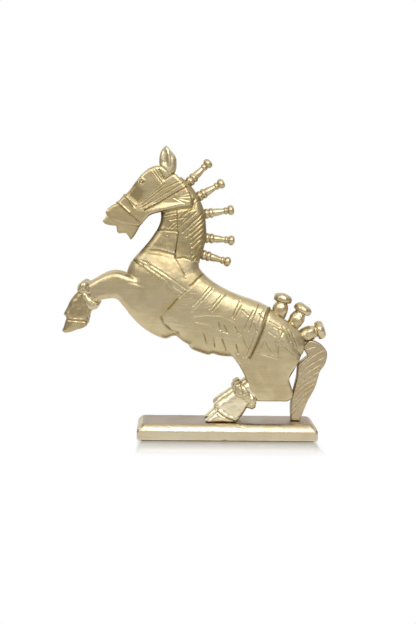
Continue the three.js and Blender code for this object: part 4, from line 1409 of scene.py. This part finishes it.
studio = {
    "floorSize": 6.0,
    "floorColour": (0.88, 0.88, 0.88, 1),
    # painted shadow: the floor's colour under the plinth
    "nearColour": (0.3, 0.29, 0.27, 1),
    "floorRoughness": 0.12,
    "fadeAcross": (0.085, 0.092),
    "fadeAlong": (0.026, 0.09),
    "glowRange": (0.25, 0.9, 1.0, 0.45),
    "front": 0.46,
    "sides": 0.35,
    "zenith": 0.9,
    "sideRange": (0.35, 0.85),
    "zenithRange": (0.15, 0.8),
    "backdropRange": (0.45, 0.75),
    "lampAim": (0, 0, 0.12),
    "lamps": [("keySoftbox", (0.15, -1.0, 0.85), 0.7, 7.5), ("fillSoftbox", (-0.8, -0.8, 0.8), 0.5, 2.5)],
}


def mirroredRays(tree, paths, x, y):
    return addMath(tree, x, y, "MAXIMUM", paths["Is Glossy Ray"], paths["Is Transmission Ray"])


def floorFade(tree, where):
    # 0 under the plinth, 1 clear of it
    split = addNode(tree, "ShaderNodeSeparateXYZ", -700, 900, {"Vector": where}).outputs
    fades = []
    for axis, ends, y in (("X", "fadeAcross", 900), ("Y", "fadeAlong", 1100)):
        away = addMath(tree, -500, y, "ABSOLUTE", split[axis])
        fades.append(addRange(tree, -300, y, away, *studio[ends]))
    return addMath(tree, -100, 900, "MAXIMUM", *fades)


def makeFloor():
    # the camera sees a lit white floor clear of the plinth, and under it a glossy floor with its real
    # shadow, darkened further by a painted shadow colour
    bpy.ops.mesh.primitive_plane_add(size=studio["floorSize"], location=(0, 0, 0))
    floor = bpy.context.object
    floor.name = "floor"
    material, tree, shader = newMaterial("paleFloor")
    shader.inputs["Roughness"].default_value = studio["floorRoughness"]
    where = addNode(tree, "ShaderNodeTexCoord", -900, 300).outputs["Object"]
    clear = floorFade(tree, where)
    tone = addNode(tree, "ShaderNodeValToRGB", 0, 1100, {"Fac": clear})
    for stop, colour in zip(tone.color_ramp.elements, ("nearColour", "floorColour")):
        stop.color = studio[colour]
    feed(tree, shader.inputs["Base Color"], tone.outputs["Color"])
    paths = addNode(tree, "ShaderNodeLightPath", -700, 600).outputs
    seen = addMath(tree, -300, 400, "MULTIPLY", paths["Is Camera Ray"], clear)
    share = addMath(tree, -100, 300, "MAXIMUM", seen, mirroredRays(tree, paths, -300, 200))
    length = addNode(tree, "ShaderNodeVectorMath", -700, 300, {"Vector": where}, operation="LENGTH")
    pool = addRange(tree, -500, 0, length.outputs["Value"], *studio["glowRange"])
    strength = addMath(tree, -100, 100, "MAXIMUM", paths["Is Camera Ray"], pool)
    glow = addNode(tree, "ShaderNodeEmission", 0, -200, {"Strength": strength})
    mix = addNode(tree, "ShaderNodeMixShader", 300, 0, {"Fac": share})
    tree.links.new(shader.outputs["BSDF"], mix.inputs[1])
    tree.links.new(glow.outputs["Emission"], mix.inputs[2])
    tree.links.new(mix.outputs["Shader"], tree.nodes["Material Output"].inputs["Surface"])
    floor.data.materials.append(material)


def makeWorld():
    # a white backdrop behind, dimmer ends and a bright ceiling
    world = bpy.data.worlds.new("studio")
    bpy.context.scene.world = world
    world.use_nodes = True
    tree = world.node_tree
    where = addNode(tree, "ShaderNodeTexCoord", -1100, 0).outputs["Generated"]
    split = addNode(tree, "ShaderNodeSeparateXYZ", -900, 0, {"Vector": where}).outputs
    sideways = addMath(tree, -700, 200, "ABSOLUTE", split["X"])
    level = addRange(tree, -500, 200, sideways, *studio["sideRange"], studio["front"], studio["sides"])
    upwards = addRange(tree, -500, 0, split["Z"], *studio["zenithRange"])
    roomLight = blend(tree, -300, 100, upwards, level, studio["zenith"])
    paths = addNode(tree, "ShaderNodeLightPath", -700, 500).outputs
    backdrop = addRange(tree, -500, -200, split["Y"], *studio["backdropRange"])
    behind = addMath(tree, -300, 300, "MULTIPLY", mirroredRays(tree, paths, -500, 400), backdrop)
    white = addMath(tree, -100, 400, "MAXIMUM", paths["Is Camera Ray"], behind)
    light = tree.nodes["Background"]
    light.inputs["Color"].default_value = (1, 1, 1, 1)
    feed(tree, light.inputs["Strength"], blend(tree, 0, 200, white, roomLight, 1.0))


def softLamp(name, place, size, power):
    bpy.ops.object.light_add(type="AREA", location=place)
    lamp = bpy.context.object
    lamp.name = name
    lamp.data.size = size
    lamp.data.energy = power
    lamp.rotation_euler = (Vector(studio["lampAim"]) - Vector(place)).to_track_quat("-Z", "Y").to_euler()


makeFloor()
makeWorld()
for lamp in studio["lamps"]:
    softLamp(*lamp)

bpy.context.scene.view_settings.view_transform = "Standard"
